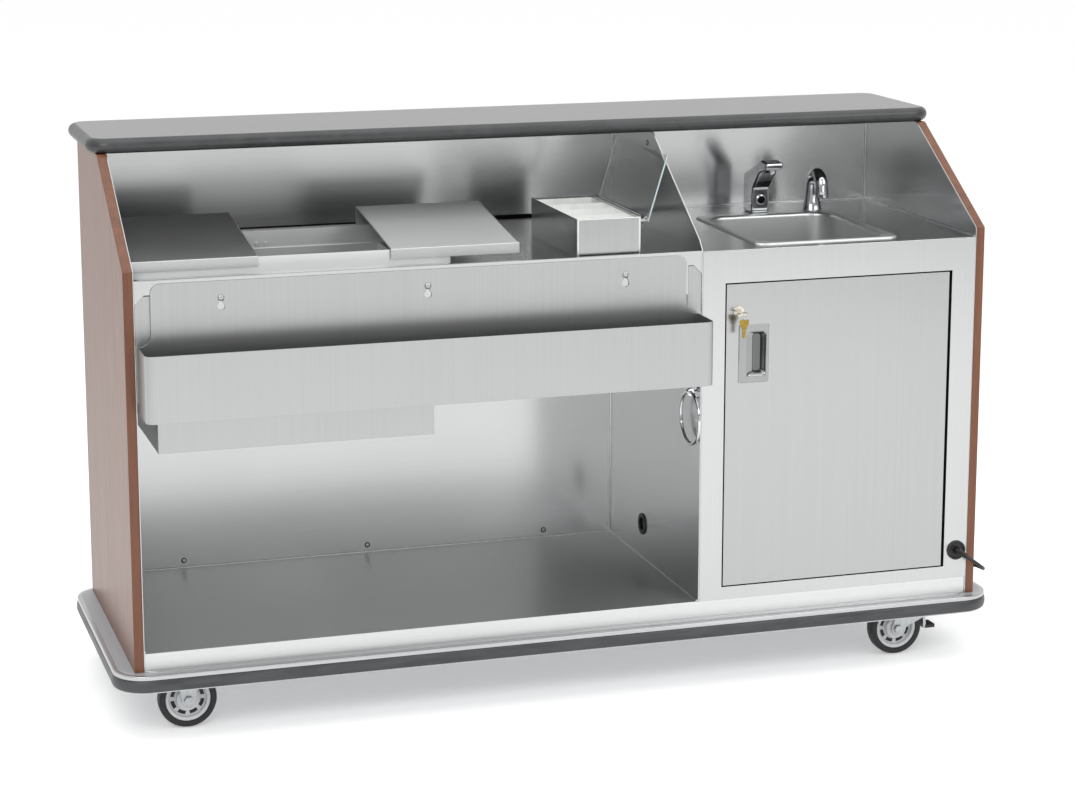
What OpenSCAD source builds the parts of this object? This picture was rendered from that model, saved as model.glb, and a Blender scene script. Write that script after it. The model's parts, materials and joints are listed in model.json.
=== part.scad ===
// Mobile bar unit: a wheeled back bar with an ice bin, a speed rail and a hand sink.
// Lengths are millimetres, angles are degrees, +Z is up and the working side faces -Y.
// Places are measured from the left end panel's outer face, the front plane and the floor.

/* [Body] */
// Width over the two end panels
body_w = 1908; // [1860:1:2100]
// Depth of the end panels
body_d = 614; // [600:1:700]
// Thickness of a laminated end panel
panel_t = 20; // [16:1:26]
// Height of the base deck
deck_z = 152; // [150:1:158]
// Height at which the front edges start to slope back
kink_z = 992; // [988:1:1010]
// Height of the underside of the bar top
top_z = 1189; // [1182:1:1240]
// Set-back of the end panels at their top
top_front_y = 317; // [280:1:320]
// Thickness of a stainless liner sheet
sheet_t = 2; // [1.5:0.1:2.5]
// Thickness of the board on the customer's side
board_t = 16; // [12:1:20]
// Place of the divider's left face
divider_x = 1240; // [1236:1:1260]
// Height of the storage floor
floor_z = 191; // [180:1:200]

/* [Bar top] */
// Thickness of the bar top
bar_t = 32; // [28:1:40]
// Front edge of the bar top
bar_front_y = 314; // [300:1:320]
// Back edge of the bar top
bar_back_y = 660; // [645:1:700]
// Overhang of the bar top past each end panel
bar_overhang = 18; // [10:1:30]
// Corner radius of the bar top
bar_corner_r = 45; // [30:1:60]
// Width of the bullnose edging
edge_w = 14; // [12:1:15]

/* [Base] */
// Height of the bumper's lower edge
bumper_z = 113; // [110:1:118]
// Reach of the bumper past the end panels
bumper_side = 42; // [36:1:60]
// Reach of the bumper past the front plane
bumper_front = 32; // [28:1:50]
// Reach of the bumper past the back
bumper_back = 25; // [22:1:40]
// Thickness of the bumper strip
bumper_t = 10; // [8:0.5:12]
// Corner radius of the deck
deck_corner_r = 60; // [50:1:80]

/* [Ice section] */
// Height of the work top
work_z = 966; // [960:1:970]
// Height of the front fascia's rim
fascia_z = 973; // [971:1:978]
// Height of the fascia's band
band_h = 30; // [24:1:36]
// Left side of the ice well
well_x = 112; // [100:1:130]
// Width of the ice well
well_w = 500; // [460:1:505]
// Front of the ice well
well_y = 58; // [56:1:62]
// Depth of the ice well from front to back
well_d = 288; // [270:1:290]
// Height of the ice well's floor
well_floor_z = 646; // [635:1:680]
// Thickness of the insulation round the well
casing_t = 43; // [35:1:45]
// Height of the front upstand that the lids run on
upstand_z = 1001; // [998:1:1004]
// Height of the rear rail that the lids run on
rail_z = 1006; // [1004:1:1010]
// Right end of the rear rail
rail_end_x = 838; // [820:1:846]
// Slope of the lids
lid_slope = 8.2; // [7:0.1:9]
// Width of the left lid
left_lid_w = 263; // [255:1:270]
// Width of the right lid
right_lid_w = 280; // [270:1:284]
// Left edge of the right lid
right_lid_x = 567; // [560:1:575]

/* [Speed rail] */
// Length of the bottle rail
rail_w = 1208; // [1150:1:1210]
// Depth of the bottle rail
rail_d = 102; // [90:1:120]
// Lower edge of the bottle rail
rail_bottom_z = 700; // [690:1:715]
// Height of the bottle rail's tray
tray_h = 138; // [120:1:145]
// Height of the stud centres
stud_z = 931; // [925:1:935]
// Distance between studs
stud_pitch = 434; // [400:1:440]

/* [Garnish box] */
// Left side of the garnish box
garnish_x = 966; // [950:1:980]
// Width of the garnish box
garnish_w = 142; // [130:1:150]
// Length of the garnish box
garnish_d = 328; // [300:1:340]
// Height of the garnish box
garnish_h = 84; // [75:1:90]
// Lean of the open lid past upright
lid_lean = 17; // [10:1:20]

/* [Sink cabinet] */
// Height of the sink counter
counter_z = 971; // [968:1:974]
// Left side of the door opening
door_x = 1295; // [1290:1:1300]
// Width of the door opening
door_w = 537; // [520:1:540]
// Lower edge of the door opening
door_z = 219; // [214:1:225]
// Height of the door opening
door_h = 680; // [660:1:685]
// Gap round the door's free edges
door_gap = 3; // [2:0.5:4]
// Gap on the door's hinge side
hinge_gap = 7; // [6:0.5:8]
// Thickness of the door
door_t = 18; // [16:0.5:20]
// Left side of the sink's rim
sink_x = 1383; // [1375:1:1390]
// Width of the sink's rim
sink_w = 340; // [330:1:345]
// Front of the sink's rim
sink_y = 40; // [36:1:44]
// Depth of the sink's rim from front to back
sink_d = 395; // [380:1:396]
// Depth of the bowl
bowl_h = 150; // [130:1:170]
// Place of the faucet along the counter
faucet_x = 1556; // [1545:1:1565]
// Place of the soap dispenser along the counter
soap_x = 1690; // [1680:1:1700]

/* [Casters] */
// Diameter of a wheel
wheel_d = 125; // [120:1:127]
// Width of a tyre
tyre_w = 32; // [28:1:34]
// Distance of the casters from the ends
caster_x = 120; // [112:1:140]
// Distance of the casters from the front plane
caster_y = 78; // [76:1:95]
// Trail of a swivel caster
trail = 38; // [32:1:40]

/* [Hidden] */
$fn = 64;

// Shared fits and overruns
cut = 1;
slide_fit = 0.3;
pin_fit = 0.05;

// Body
inner_x0 = panel_t + sheet_t;
inner_x1 = body_w - panel_t - sheet_t;
back_y = body_d - board_t - sheet_t;
side_outline = [[0, deck_z], [body_d, deck_z], [body_d, top_z], [top_front_y, top_z], [0, kink_z]];
liner_outline = [[0, deck_z], [back_y, deck_z], [back_y, top_z], [top_front_y, top_z], [0, kink_z]];
divider_t = 3;
divider_foot_z = fascia_z;
divider_bend_y = 18;
divider_bend_h = 21;
divider_bend_z = divider_foot_z + divider_bend_h;
divider_outline = [[0, floor_z], [back_y, floor_z], [back_y, top_z], [top_front_y, top_z],
    [divider_bend_y, divider_bend_z], [0, divider_foot_z]];
wall_grommet_y = 364;
wall_grommet_z = 271;
wall_grommet_hole = 42;
wall_grommet_lip = 4;
wall_grommet_bore = 30;
wall_grommet_lip_t = 3;

// Base
channel_t = 3;
channel_lip = 11;
channel_foot = 6;
channel_rim_h = 9;
channel_foot_t = 3;
channel_round = 2.5;
deck_t = 3;
deck_x = [-bumper_side + bumper_t + channel_t, body_w + bumper_side - bumper_t - channel_t];
deck_y = [-bumper_front + bumper_t + channel_t, body_d + bumper_back - bumper_t - channel_t];
strip_z0 = bumper_z + channel_foot_t;
strip_z1 = deck_z - channel_rim_h;
strip_bulge_r = 30;
riser_y = 2;
riser_flange = 16;
riser_mitre = 32;
rail_gap = 1;
front_most = max(rail_d + rail_gap, bumper_front);
rear_most = max(bar_back_y, body_d + bumper_back);
mid_y = (rear_most - front_most) / 2;

// Ice section
fascia_drop = 63;
fascia_drop_x0 = 90;
fascia_drop_x1 = 1209;
fascia_corner = 20;
fascia_rim = 9;
top_flange = 20;
work_back_gap = 21;
work_back_y = back_y - work_back_gap;
well_x1 = well_x + well_w;
well_y1 = well_y + well_d;
well_sheet = 1.5;
bin_flange = 16;
bin_front_y = 10;
bin_end_gap = 8;
bin_front_x0 = inner_x0 + bin_end_gap;
bin_front_x1 = 697;
bin_mitre = 24;
drain_d = 26;
drain_l = 34;
bin_screw_d = 9;
bin_screw_h = 3;
bin_screw_shares = [0.63, 0.67];
rear_rail_gap = 4;
rear_rail_y = well_y1 + rear_rail_gap;
rear_rail_w = 24;
lid_t = 1.5;
lid_nose = 7;
lid_tail = 12;
lid_front_y = well_y - lid_nose;
lid_back_y = rear_rail_y + lid_tail;
lid_flange = 21;
lid_rise = tan(lid_slope);
upstand_y = well_y - well_sheet;
lid_under_front = upstand_z + slide_fit - (upstand_y - lid_front_y) * lid_rise;
lid_sheet_z = lid_t / cos(lid_slope);
lid_end_gap = 2;
left_lid_x = inner_x0 + lid_end_gap;

// Speed rail
rail_sheet = 1.5;
rail_x = 25;
rail_corner_r = 18;
plate_inset = 29;
plate_drop = 7;
plate_top_z = fascia_z - plate_drop;
plate_corner_r = 20;
plate_fillet_r = 26;
rail_back_y = -rail_gap;
rail_front_y = -rail_gap - rail_d;
tray_z = rail_bottom_z + tray_h;
stud_mid_x = 632;
stud_d = 8;
stud_head_d = 14;
stud_head_t = 3;
keyhole_drop = 18;
keyhole_d = 16;
stud_root = 12;

// Screws on the back wall and divider
screw_d = 9;
screw_t = 3;
screw_rise = 17;
screw_z = floor_z + screw_rise;
screw_x = 208;
screw_pitch = 432;
screw_count = 3;

// Garnish box
garnish_y = 22;
garnish_wall = 1.5;
garnish_z1 = work_z + garnish_h;
insert_gap = 1;
insert_wall = 2;
insert_drop = 5;
insert_floor = 4;
insert_cells = 4;
hinge_strip_w = 16;
hinge_pin_d = 4;
hinge_boss_d = 9;
hinge_boss_l = 24;
acrylic_t = 4;
hinge_x = garnish_x + garnish_w + hinge_strip_w - hinge_boss_d / 2;
hinge_z = garnish_z1 - hinge_boss_d / 2;
swing_gap = 2.5;
acrylic_l = top_z - hinge_z - swing_gap;
acrylic_off = hinge_boss_d / 2 + slide_fit + acrylic_t / 2;

// Sink cabinet
cabinet_x0 = divider_x + divider_t;
jamb_d = 25;
door_x1 = door_x + door_w;
door_z1 = door_z + door_h;
leaf_x0 = door_x + door_gap;
leaf_x1 = door_x1 - hinge_gap;
leaf_z0 = door_z + door_gap;
leaf_z1 = door_z1 - door_gap;
leaf_sheet = 1.5;
pivot_inset = 7;
pivot_x = leaf_x1 - pivot_inset;
pivot_y = door_t / 2;
pivot_d = 8;
pivot_boss_d = 16;
pivot_boss_h = 8;
pull_side = 29;
pull_rise = 455;
pull_x = leaf_x0 + pull_side;
pull_w = 70;
pull_z = leaf_z0 + pull_rise;
pull_h = 128;
pull_plate_t = 2;
cup_side = 21;
cup_foot = 17;
cup_x = pull_x + cup_side;
cup_w = 41;
cup_z = pull_z + cup_foot;
cup_h = 93;
cup_wall = 1.5;
cup_d = 14;
cup_r = 8;
lock_side = 28;
lock_drop = 60;
lock_x = leaf_x0 + lock_side;
lock_z = leaf_z1 - lock_drop;
lock_barrel_d = 19;
lock_bezel_d = 24;
lock_bezel_t = 2;
lock_plug_d = 12;
lock_l = jamb_d;
cam_w = 12;
cam_l = 34;
cam_t = 2.5;
key_stem = 9;
key_bow_d = 23;
key_t = 2.2;
key_hole_d = 8;
key_stem_w = 8;
key_ring_r = 9;
key_wire = 1.8;
key_hole_share = 0.72;
key_hole_y = -lock_bezel_t - key_stem - key_bow_d * key_hole_share;
key_tip_y = -lock_bezel_t - key_stem - key_bow_d;
key_ring_y = (key_tip_y + key_hole_y - key_hole_d / 2) / 2;
key_ring_z = lock_z + key_t / 2 + slide_fit + key_wire / 2 - key_ring_r;
key_blade_w = 8;
key_blade_l = 19;
power_x = 1862;
power_z = 255;
power_hole = 34;
power_lip_d = 44;
power_lip_t = 5;
power_nub_d = 17;
power_nub_l = 7;

// Sink, faucet and soap
rim_t = 3;
rim_w = 22;
rim_r = 24;
bowl_r = 45;
bowl_t = 2;
counter_lip = 18;
sink_mid_x = sink_x + sink_w / 2;
sink_mid_y = sink_y + sink_d / 2;
drain_hole_d = 48;
strainer_d = 84;
strainer_t = 2;
tail_d = 38;
tail_l = 80;
bowl_z = counter_z - bowl_h;
faucet_gap = 15;
faucet_w = 44;
faucet_depth = 55;
faucet_back_y = sink_y + sink_d + faucet_gap + faucet_depth;
faucet_col_h = 89;
faucet_rise = 44;
faucet_reach = 141;
faucet_throat = 60;
faucet_head_w = 40;
faucet_head_h = 16;
faucet_lip = 4;
faucet_under_h = 104;
shank_d = 26;
shank_l = 44;
nut_d = 42;
nut_t = 8;
sensor_d = 17;
sensor_t = 3;
sensor_h = 33;
soap_base_d = 46;
soap_gap = 2;
soap_y = sink_y + sink_d + soap_gap + soap_base_d / 2;
soap_base_t = 5;
soap_col_d = 32;
soap_neck_d = 25;
soap_col_h = 62;
soap_arch_r = 28;
soap_tip_l = 22;
soap_tip_d = 28;
soap_nozzle_d = 6;
soap_nozzle_l = 6;
soap_bottle_d = 70;
soap_bottle_h = 150;
soap_neck_l = 30;

// Water system
tank_w = 226;
tank_d = 176;
tank_h = 370;
tank_r = 30;
tank_back_gap = 20;
tank_y = back_y - tank_back_gap - tank_d;
fresh_x = 1268;
waste_x = 1612;
tank_neck_d = 54;
tank_neck_h = 16;
cap_d = 66;
cap_h = 22;
hose_d = 13;
waste_d = 33;
hose_steps = 3;
pump_x = 1470;
pump_y = 240;
pump_l = 130;
pump_d = 74;
pump_foot_t = 6;
pump_sink = 3;
pump_edge = 4;
pump_head = 60;
pump_port_d = 14;
pump_port_l = 22;

// Towel ring
ring_r = 57;
ring_wire = 7;
ring_y = 25;
ring_top_z = 659;
ring_off = 14;
ring_eye_l = 8;
ring_eye_d = 16;
ring_plate_d = 30;
ring_plate_t = 3;

// Casters
wheel_r = wheel_d / 2;
axle_d = 12;
plate_t = 4;
plate_w = 95;
plate_d = 80;
race_d = 58;
race_h = 5;
race_gap = 0.5;
king_d = 14;
crown_d = 64;
crown_t = 4;
crown_z1 = deck_z - deck_t - plate_t - race_h - race_gap;
leg_t = 4;
leg_gap = 3;
leg_y = tyre_w / 2 + leg_gap;
leg_end_r = 15;
leg_top_w = 56;
nut_across = 20;
nut_h = 6;
tyre_round = 7;
tyre_t = 15;
rim_t1 = 8;
rim_r1 = wheel_r - tyre_t;
rim_r0 = rim_r1 - rim_t1;
hub_r = 16;
hub_web_t = 8;
slot_count = 8;
slot_angle = 26;
slot_w = 8;
brake_x = 26;
brake_z = 94;
brake_pin_d = 8;
brake_lug_r = 9;
brake_eye_r = 7;
brake_w = tyre_w;
brake_arm_t = 7;
brake_gap = 4;
brake_pad_l = 28;
brake_pad_t = 7;
brake_pad_z = 56;

// Mains cord: the free run's points from the grommet to the coil
cord_d = 8;
cord_sides = 10;
cord_steps = 3;
cord_route = [[1862, -22, 255], [1870, -46, 249], [1889, -56, 235], [1908, -46, 221], [1916, -22, 215],
    [1918, 10, 211], [1919, 70, 198], [1920, 150, 178], [1921, 240, 162], [1922, 330, 157], [1922, 430, 157],
    [1922, 530, 157], [1920, 590, 159], [1915, 626, 161], [1906, 654, 150], [1897, 671, 120], [1888, 682, 84],
    [1876, 690, 50], [1856, 698, 22], [1822, 702, 8], [1780, 700, 5], [1730, 690, 5], [1680, 674, 5],
    [1648, 660, 5], [1614, 658, 5]];
coil_d = 100;
coil_gap = 1;
coil_loops = 4;
coil_rings = 24;
coil_sides = 6;
coil_x = 1592;
coil_y = 608;
coil_tail = 48;
plug_d = 26;
plug_l = 34;
plug_nose_d = 13;
plug_nose_l = 18;
pin_l = 18;
pin_w = 6;
pin_t = 1.6;
pin_pitch = 12.7;
earth_d = 4.8;

// Moves a child from the measuring corner to the part's own origin
module unit() {
    translate([-body_w / 2, -mid_y, 0]) children();
}

// A box given by its ranges in x, y and z
module slab(x, y, z) {
    translate([x[0], y[0], z[0]]) cube([x[1] - x[0], y[1] - y[0], z[1] - z[0]]);
}

// An outline in (y, z) with a thickness along x
module along_x(x0, t) {
    translate([x0, 0, 0]) rotate([90, 0, 90]) linear_extrude(t) children();
}

// An outline in (x, z) with a thickness along y
module along_y(y0, t) {
    translate([0, y0 + t, 0]) rotate([90, 0, 0]) linear_extrude(t) children();
}

// A round bar along y
module rod_y(x, y0, z, d, l) {
    translate([x, y0, z]) rotate([-90, 0, 0]) cylinder(d = d, h = l);
}

// A round bar along x
module rod_x(x0, y, z, d, l) {
    translate([x0, y, z]) rotate([0, 90, 0]) cylinder(d = d, h = l);
}

// A round bar along z
module rod_z(x, y, z0, d, l) {
    translate([x, y, z0]) cylinder(d = d, h = l);
}

// A rectangle with round corners, given by its ranges
module round_rect(x, y, r) {
    translate([x[0] + r, y[0]]) square([x[1] - x[0] - 2 * r, y[1] - y[0]]);
    translate([x[0], y[0] + r]) square([x[1] - x[0], y[1] - y[0] - 2 * r]);
    for (cx = [x[0] + r, x[1] - r])
        for (cy = [y[0] + r, y[1] - r])
            translate([cx, cy]) circle(r);
}

// A section, drawn outward from the outline, carried round a rectangle with round corners
module ring_sweep(x, y, r) {
    run_x = x[1] - x[0] - 2 * r;
    run_y = y[1] - y[0] - 2 * r;
    corners = [[x[1] - r, y[1] - r], [x[0] + r, y[1] - r], [x[0] + r, y[0] + r], [x[1] - r, y[0] + r]];
    translate([x[0] + r, y[0], 0]) mirror([0, 1, 0]) rotate([90, 0, 90]) linear_extrude(run_x) children();
    translate([x[0] + r, y[1], 0]) rotate([90, 0, 90]) linear_extrude(run_x) children();
    translate([x[1], y[1] - r, 0]) rotate([90, 0, 0]) linear_extrude(run_y) children();
    translate([x[0], y[1] - r, 0]) mirror([1, 0, 0]) rotate([90, 0, 0]) linear_extrude(run_y) children();
    for (i = [0 : 3])
        translate([corners[i][0], corners[i][1], 0]) rotate([0, 0, 90 * i])
            rotate_extrude(angle = 90) translate([r, 0]) children();
}

// Base: deck plate, aluminium channel and vinyl bumper
module deck() {
    color("lightgray") unit() translate([0, 0, deck_z - deck_t]) linear_extrude(deck_t)
        round_rect(deck_x, deck_y, deck_corner_r);
}

module channel_section() {
    translate([0, bumper_z]) square([channel_foot, channel_foot_t]);
    translate([0, bumper_z]) square([channel_t, deck_z - bumper_z]);
    translate([0, strip_z1]) square([channel_lip, channel_rim_h - channel_round]);
    translate([0, strip_z1]) square([channel_lip - channel_round, channel_rim_h]);
    translate([channel_lip - channel_round, deck_z - channel_round]) circle(channel_round);
}

module bumper_channel() {
    color("gainsboro") unit() ring_sweep(deck_x, deck_y, deck_corner_r) channel_section();
}

module strip_section() {
    intersection() {
        translate([channel_t, strip_z0]) square([bumper_t, strip_z1 - strip_z0]);
        translate([channel_t + bumper_t - strip_bulge_r, (strip_z0 + strip_z1) / 2]) circle(strip_bulge_r);
    }
}

module bumper_strip() {
    color("dimgray") unit() ring_sweep(deck_x, deck_y, deck_corner_r) strip_section();
}

// Body: laminated boards and stainless liners
module left_end_panel() {
    color("sienna") unit() along_x(0, panel_t) polygon(side_outline);
}

module right_end_panel() {
    color("sienna") unit() along_x(body_w - panel_t, panel_t) polygon(side_outline);
}

module end_liners() {
    color("silver") unit() for (x = [panel_t, inner_x1])
        along_x(x, sheet_t) polygon(liner_outline);
}

module customer_panel() {
    color("sienna") unit() slab([panel_t, body_w - panel_t], [body_d - board_t, body_d], [deck_z, top_z]);
}

module back_liner() {
    color("silver") unit() slab([panel_t, body_w - panel_t], [back_y, back_y + sheet_t], [deck_z, top_z]);
}

module bar_top() {
    color("darkslategray") unit() translate([0, 0, top_z]) linear_extrude(bar_t)
        round_rect([edge_w - bar_overhang, body_w + bar_overhang - edge_w],
            [bar_front_y + edge_w, bar_back_y - edge_w], bar_corner_r - edge_w);
}

module bullnose_section() {
    intersection() {
        translate([0, top_z]) square([edge_w, bar_t]);
        translate([edge_w - bar_t / 2, top_z + bar_t / 2]) circle(d = bar_t);
    }
}

module bar_top_edge() {
    color("dimgray") unit() ring_sweep([edge_w - bar_overhang, body_w + bar_overhang - edge_w],
        [bar_front_y + edge_w, bar_back_y - edge_w], bar_corner_r - edge_w) bullnose_section();
}

module divider() {
    color("silver") unit() difference() {
        along_x(divider_x, divider_t) polygon(divider_outline);
        rod_x(divider_x - cut, wall_grommet_y, wall_grommet_z, wall_grommet_hole, divider_t + 2 * cut);
    }
}

// Floor pan with its riser, its mitred sill flange and its rear leg
module storage_floor() {
    sill_x0 = inner_x0 + riser_mitre;
    sill_x1 = inner_x1 - riser_mitre;
    color("silver") unit() {
        slab([inner_x0, inner_x1], [riser_y, back_y], [floor_z - sheet_t, floor_z]);
        slab([inner_x0, inner_x1], [riser_y, riser_y + sheet_t], [deck_z, floor_z]);
        slab([inner_x0, inner_x1], [back_y - sheet_t, back_y], [deck_z, floor_z]);
        translate([0, 0, deck_z]) linear_extrude(sheet_t) polygon([[inner_x0, riser_y + sheet_t],
            [inner_x1, riser_y + sheet_t], [inner_x1, riser_y], [sill_x1, riser_y - riser_flange],
            [sill_x0, riser_y - riser_flange], [inner_x0, riser_y]]);
    }
}

// Ice section
module ice_fascia() {
    band_z = fascia_z - band_h;
    color("silver") unit() {
        along_y(0, sheet_t) polygon([[inner_x0, fascia_z], [inner_x0, band_z - fascia_corner],
            [inner_x0 + fascia_corner, band_z], [fascia_drop_x0, band_z], [fascia_drop_x0, band_z - fascia_drop],
            [fascia_drop_x1, band_z - fascia_drop], [fascia_drop_x1, band_z],
            [divider_x - fascia_corner, band_z], [divider_x, band_z - fascia_corner], [divider_x, fascia_z]]);
        slab([inner_x0, divider_x], [0, fascia_rim], [fascia_z - sheet_t, fascia_z]);
        slab([inner_x0, divider_x], [fascia_rim - sheet_t, fascia_rim], [work_z, fascia_z]);
    }
}

module work_top() {
    flange_z = work_z - top_flange;
    color("silver") unit() difference() {
        union() {
            slab([inner_x0, divider_x], [sheet_t, work_back_y], [work_z - sheet_t, work_z]);
            slab([inner_x0, divider_x], [work_back_y - sheet_t, work_back_y], [flange_z, work_z]);
            slab([inner_x0, inner_x0 + sheet_t], [sheet_t, work_back_y], [flange_z, work_z]);
            slab([divider_x - sheet_t, divider_x], [sheet_t, work_back_y], [flange_z, work_z]);
        }
        slab([well_x - well_sheet, well_x1 + well_sheet], [well_y - well_sheet, well_y1 + well_sheet],
            [work_z - sheet_t - cut, work_z + cut]);
    }
}

// Ice well: a tub with a rim flange, a mitred front flange, an upstand and a drain outlet
module ice_bin() {
    tub_x = [well_x - well_sheet, well_x1 + well_sheet];
    tub_y = [well_y - well_sheet, well_y1 + well_sheet];
    drain_x = well_x + drain_d * 2;
    drain_y = well_y1 - drain_d * 2;
    color("silver") unit() difference() {
        union() {
            slab(tub_x, tub_y, [well_floor_z - well_sheet, work_z + well_sheet]);
            slab([tub_x[0] - bin_flange, tub_x[1] + bin_flange], [tub_y[0], tub_y[1] + bin_flange],
                [work_z, work_z + well_sheet]);
            translate([0, 0, work_z]) linear_extrude(well_sheet) polygon([[bin_front_x0 + bin_mitre, bin_front_y],
                [bin_front_x1 - bin_mitre, bin_front_y], [bin_front_x1, tub_y[0] + well_sheet],
                [bin_front_x0, tub_y[0] + well_sheet]]);
            slab([bin_front_x0, bin_front_x1], [tub_y[0], well_y], [work_z, upstand_z]);
            rod_z(drain_x, drain_y, well_floor_z - drain_l - casing_t, drain_d, drain_l + casing_t);
        }
        slab([well_x, well_x1], [well_y, well_y1], [well_floor_z, work_z + 2 * cut]);
        rod_z(drain_x, drain_y, well_floor_z - drain_l - casing_t - cut, drain_d - 2 * well_sheet,
            drain_l + casing_t + 2 * cut);
    }
}

// Sheet casing that holds the insulation round the ice well
module bin_casing() {
    casing_x = [well_x - casing_t, well_x1 + casing_t];
    casing_y = [well_y - bin_flange, well_y1 + casing_t];
    color("gainsboro") unit() difference() {
        slab(casing_x, casing_y, [well_floor_z - casing_t, work_z - sheet_t]);
        slab([casing_x[0] + well_sheet, casing_x[1] - well_sheet], [casing_y[0] + well_sheet, casing_y[1] - well_sheet],
            [well_floor_z - casing_t + well_sheet, work_z]);
        rod_z(well_x + drain_d * 2, well_y1 - drain_d * 2, well_floor_z - casing_t - cut,
            drain_d + 2 * slide_fit, casing_t + cut);
    }
}

// Rear runner of the lids, a Z section with two screws in its web
module lid_rail() {
    foot_z = work_z + well_sheet;
    color("silver") unit() {
        along_x(bin_front_x0, rail_end_x - bin_front_x0) polygon([[rear_rail_y, foot_z],
            [rear_rail_y + rear_rail_w, foot_z], [rear_rail_y + rear_rail_w, foot_z + sheet_t],
            [rear_rail_y + sheet_t, foot_z + sheet_t], [rear_rail_y + sheet_t, rail_z - sheet_t],
            [rear_rail_y + rear_rail_w, rail_z - sheet_t], [rear_rail_y + rear_rail_w, rail_z],
            [rear_rail_y, rail_z]]);
        for (share = bin_screw_shares)
            rod_y(bin_front_x0 + well_w * share, rear_rail_y - bin_screw_h, foot_z + bin_screw_d, bin_screw_d, bin_screw_h);
    }
}

// Lids of bent sheet: a sloping top with a front and a rear flange
module ice_lid(x, w) {
    run = lid_back_y - lid_front_y;
    under_back = lid_under_front + run * lid_rise;
    front_z = lid_under_front + lid_sheet_z;
    back_z = under_back + lid_sheet_z;
    rest_z = rail_z + slide_fit;
    along_x(x, w) polygon([[lid_front_y, front_z - lid_flange], [lid_front_y, front_z], [lid_back_y, back_z],
        [lid_back_y, rest_z], [lid_back_y - lid_t, rest_z], [lid_back_y - lid_t, under_back - lid_t * lid_rise],
        [lid_front_y + lid_t, lid_under_front + lid_t * lid_rise], [lid_front_y + lid_t, front_z - lid_flange]]);
}

module left_ice_lid() {
    color("gray") unit() ice_lid(left_lid_x, left_lid_w);
}

module right_ice_lid() {
    color("gray") unit() ice_lid(right_lid_x, right_lid_w);
}

// Shoulder studs that carry the bottle rail, and the screws of the back wall and divider
module studs_and_screws() {
    shank = rail_gap + rail_sheet + slide_fit;
    color("white") unit() {
        for (i = [-1 : 1]) {
            rod_y(stud_mid_x + i * stud_pitch, -shank, stud_z, stud_d, shank);
            rod_y(stud_mid_x + i * stud_pitch, -shank - stud_head_t, stud_z, stud_head_d, stud_head_t);
        }
        for (i = [0 : screw_count - 1])
            rod_y(screw_x + i * screw_pitch, back_y - screw_t, screw_z, screw_d, screw_t);
        rod_x(divider_x - screw_t, top_front_y + 4 * screw_d, top_z - 3 * screw_d, screw_d, screw_t);
    }
}

// Bottle rail: a hanging plate with keyholes and a tray with round front corners
module rail_plate() {
    x0 = rail_x + plate_inset;
    x1 = rail_x + rail_w - plate_inset;
    difference() {
        union() {
            translate([rail_x, rail_bottom_z]) square([rail_w, tray_h]);
            translate([x0, tray_z]) square([x1 - x0, plate_top_z - plate_corner_r - tray_z]);
            round_rect([x0, x1], [tray_z, plate_top_z], plate_corner_r);
            translate([x0 - plate_fillet_r, tray_z]) square(plate_fillet_r);
            translate([x1, tray_z]) square(plate_fillet_r);
        }
        for (x = [x0 - plate_fillet_r, x1 + plate_fillet_r])
            translate([x, tray_z + plate_fillet_r]) circle(plate_fillet_r);
        for (i = [-1 : 1]) {
            translate([stud_mid_x + i * stud_pitch, stud_z]) circle(d = stud_d + 2 * slide_fit);
            translate([stud_mid_x + i * stud_pitch - stud_d / 2 - slide_fit, stud_z - keyhole_drop])
                square([stud_d + 2 * slide_fit, keyhole_drop]);
            translate([stud_mid_x + i * stud_pitch, stud_z - keyhole_drop]) circle(d = keyhole_d);
        }
    }
}

module tray_outline(inset) {
    x = [rail_x + inset, rail_x + rail_w - inset];
    y = [rail_front_y + inset, rail_back_y - inset];
    r = rail_corner_r - inset;
    round_rect(x, y, r);
    translate([x[0], y[1] - 2 * r]) square([x[1] - x[0], 2 * r]);
}

module speed_rail() {
    color("silver") unit() {
        along_y(rail_back_y - rail_sheet, rail_sheet) rail_plate();
        translate([0, 0, rail_bottom_z]) difference() {
            linear_extrude(tray_h) tray_outline(0);
            translate([0, 0, rail_sheet]) linear_extrude(tray_h) tray_outline(rail_sheet);
        }
    }
}

// Garnish box with its insert and its clear lid
module garnish_box() {
    x = [garnish_x, garnish_x + garnish_w];
    y = [garnish_y, garnish_y + garnish_d];
    color("silver") unit() {
        difference() {
            slab(x, y, [work_z, garnish_z1]);
            slab([x[0] + garnish_wall, x[1] - garnish_wall], [y[0] + garnish_wall, y[1] - garnish_wall],
                [work_z + garnish_wall, garnish_z1 + cut]);
        }
        slab([x[1], hinge_x], y, [hinge_z - hinge_boss_d / 2 - garnish_wall, hinge_z - hinge_boss_d / 2]);
        for (end_y = [y[0], y[1] - hinge_boss_l]) difference() {
            union() {
                rod_y(hinge_x, end_y, hinge_z, hinge_boss_d, hinge_boss_l);
                slab([x[1], hinge_x], [end_y, end_y + hinge_boss_l],
                    [hinge_z - hinge_boss_d / 2 - garnish_wall, hinge_z]);
            }
            rod_y(hinge_x, end_y - cut, hinge_z, hinge_pin_d + 2 * pin_fit, hinge_boss_l + 2 * cut);
        }
    }
}

module garnish_insert() {
    inset = garnish_wall + insert_gap;
    x = [garnish_x + inset, garnish_x + garnish_w - inset];
    y = [garnish_y + inset, garnish_y + garnish_d - inset];
    pitch = (y[1] - y[0] - insert_wall) / insert_cells;
    color("white") unit() difference() {
        slab(x, y, [work_z + garnish_wall, garnish_z1 - insert_drop]);
        for (i = [0 : insert_cells - 1])
            slab([x[0] + insert_wall, x[1] - insert_wall],
                [y[0] + insert_wall + i * pitch, y[0] + (i + 1) * pitch],
                [work_z + garnish_wall + insert_floor, garnish_z1]);
    }
}

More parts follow.
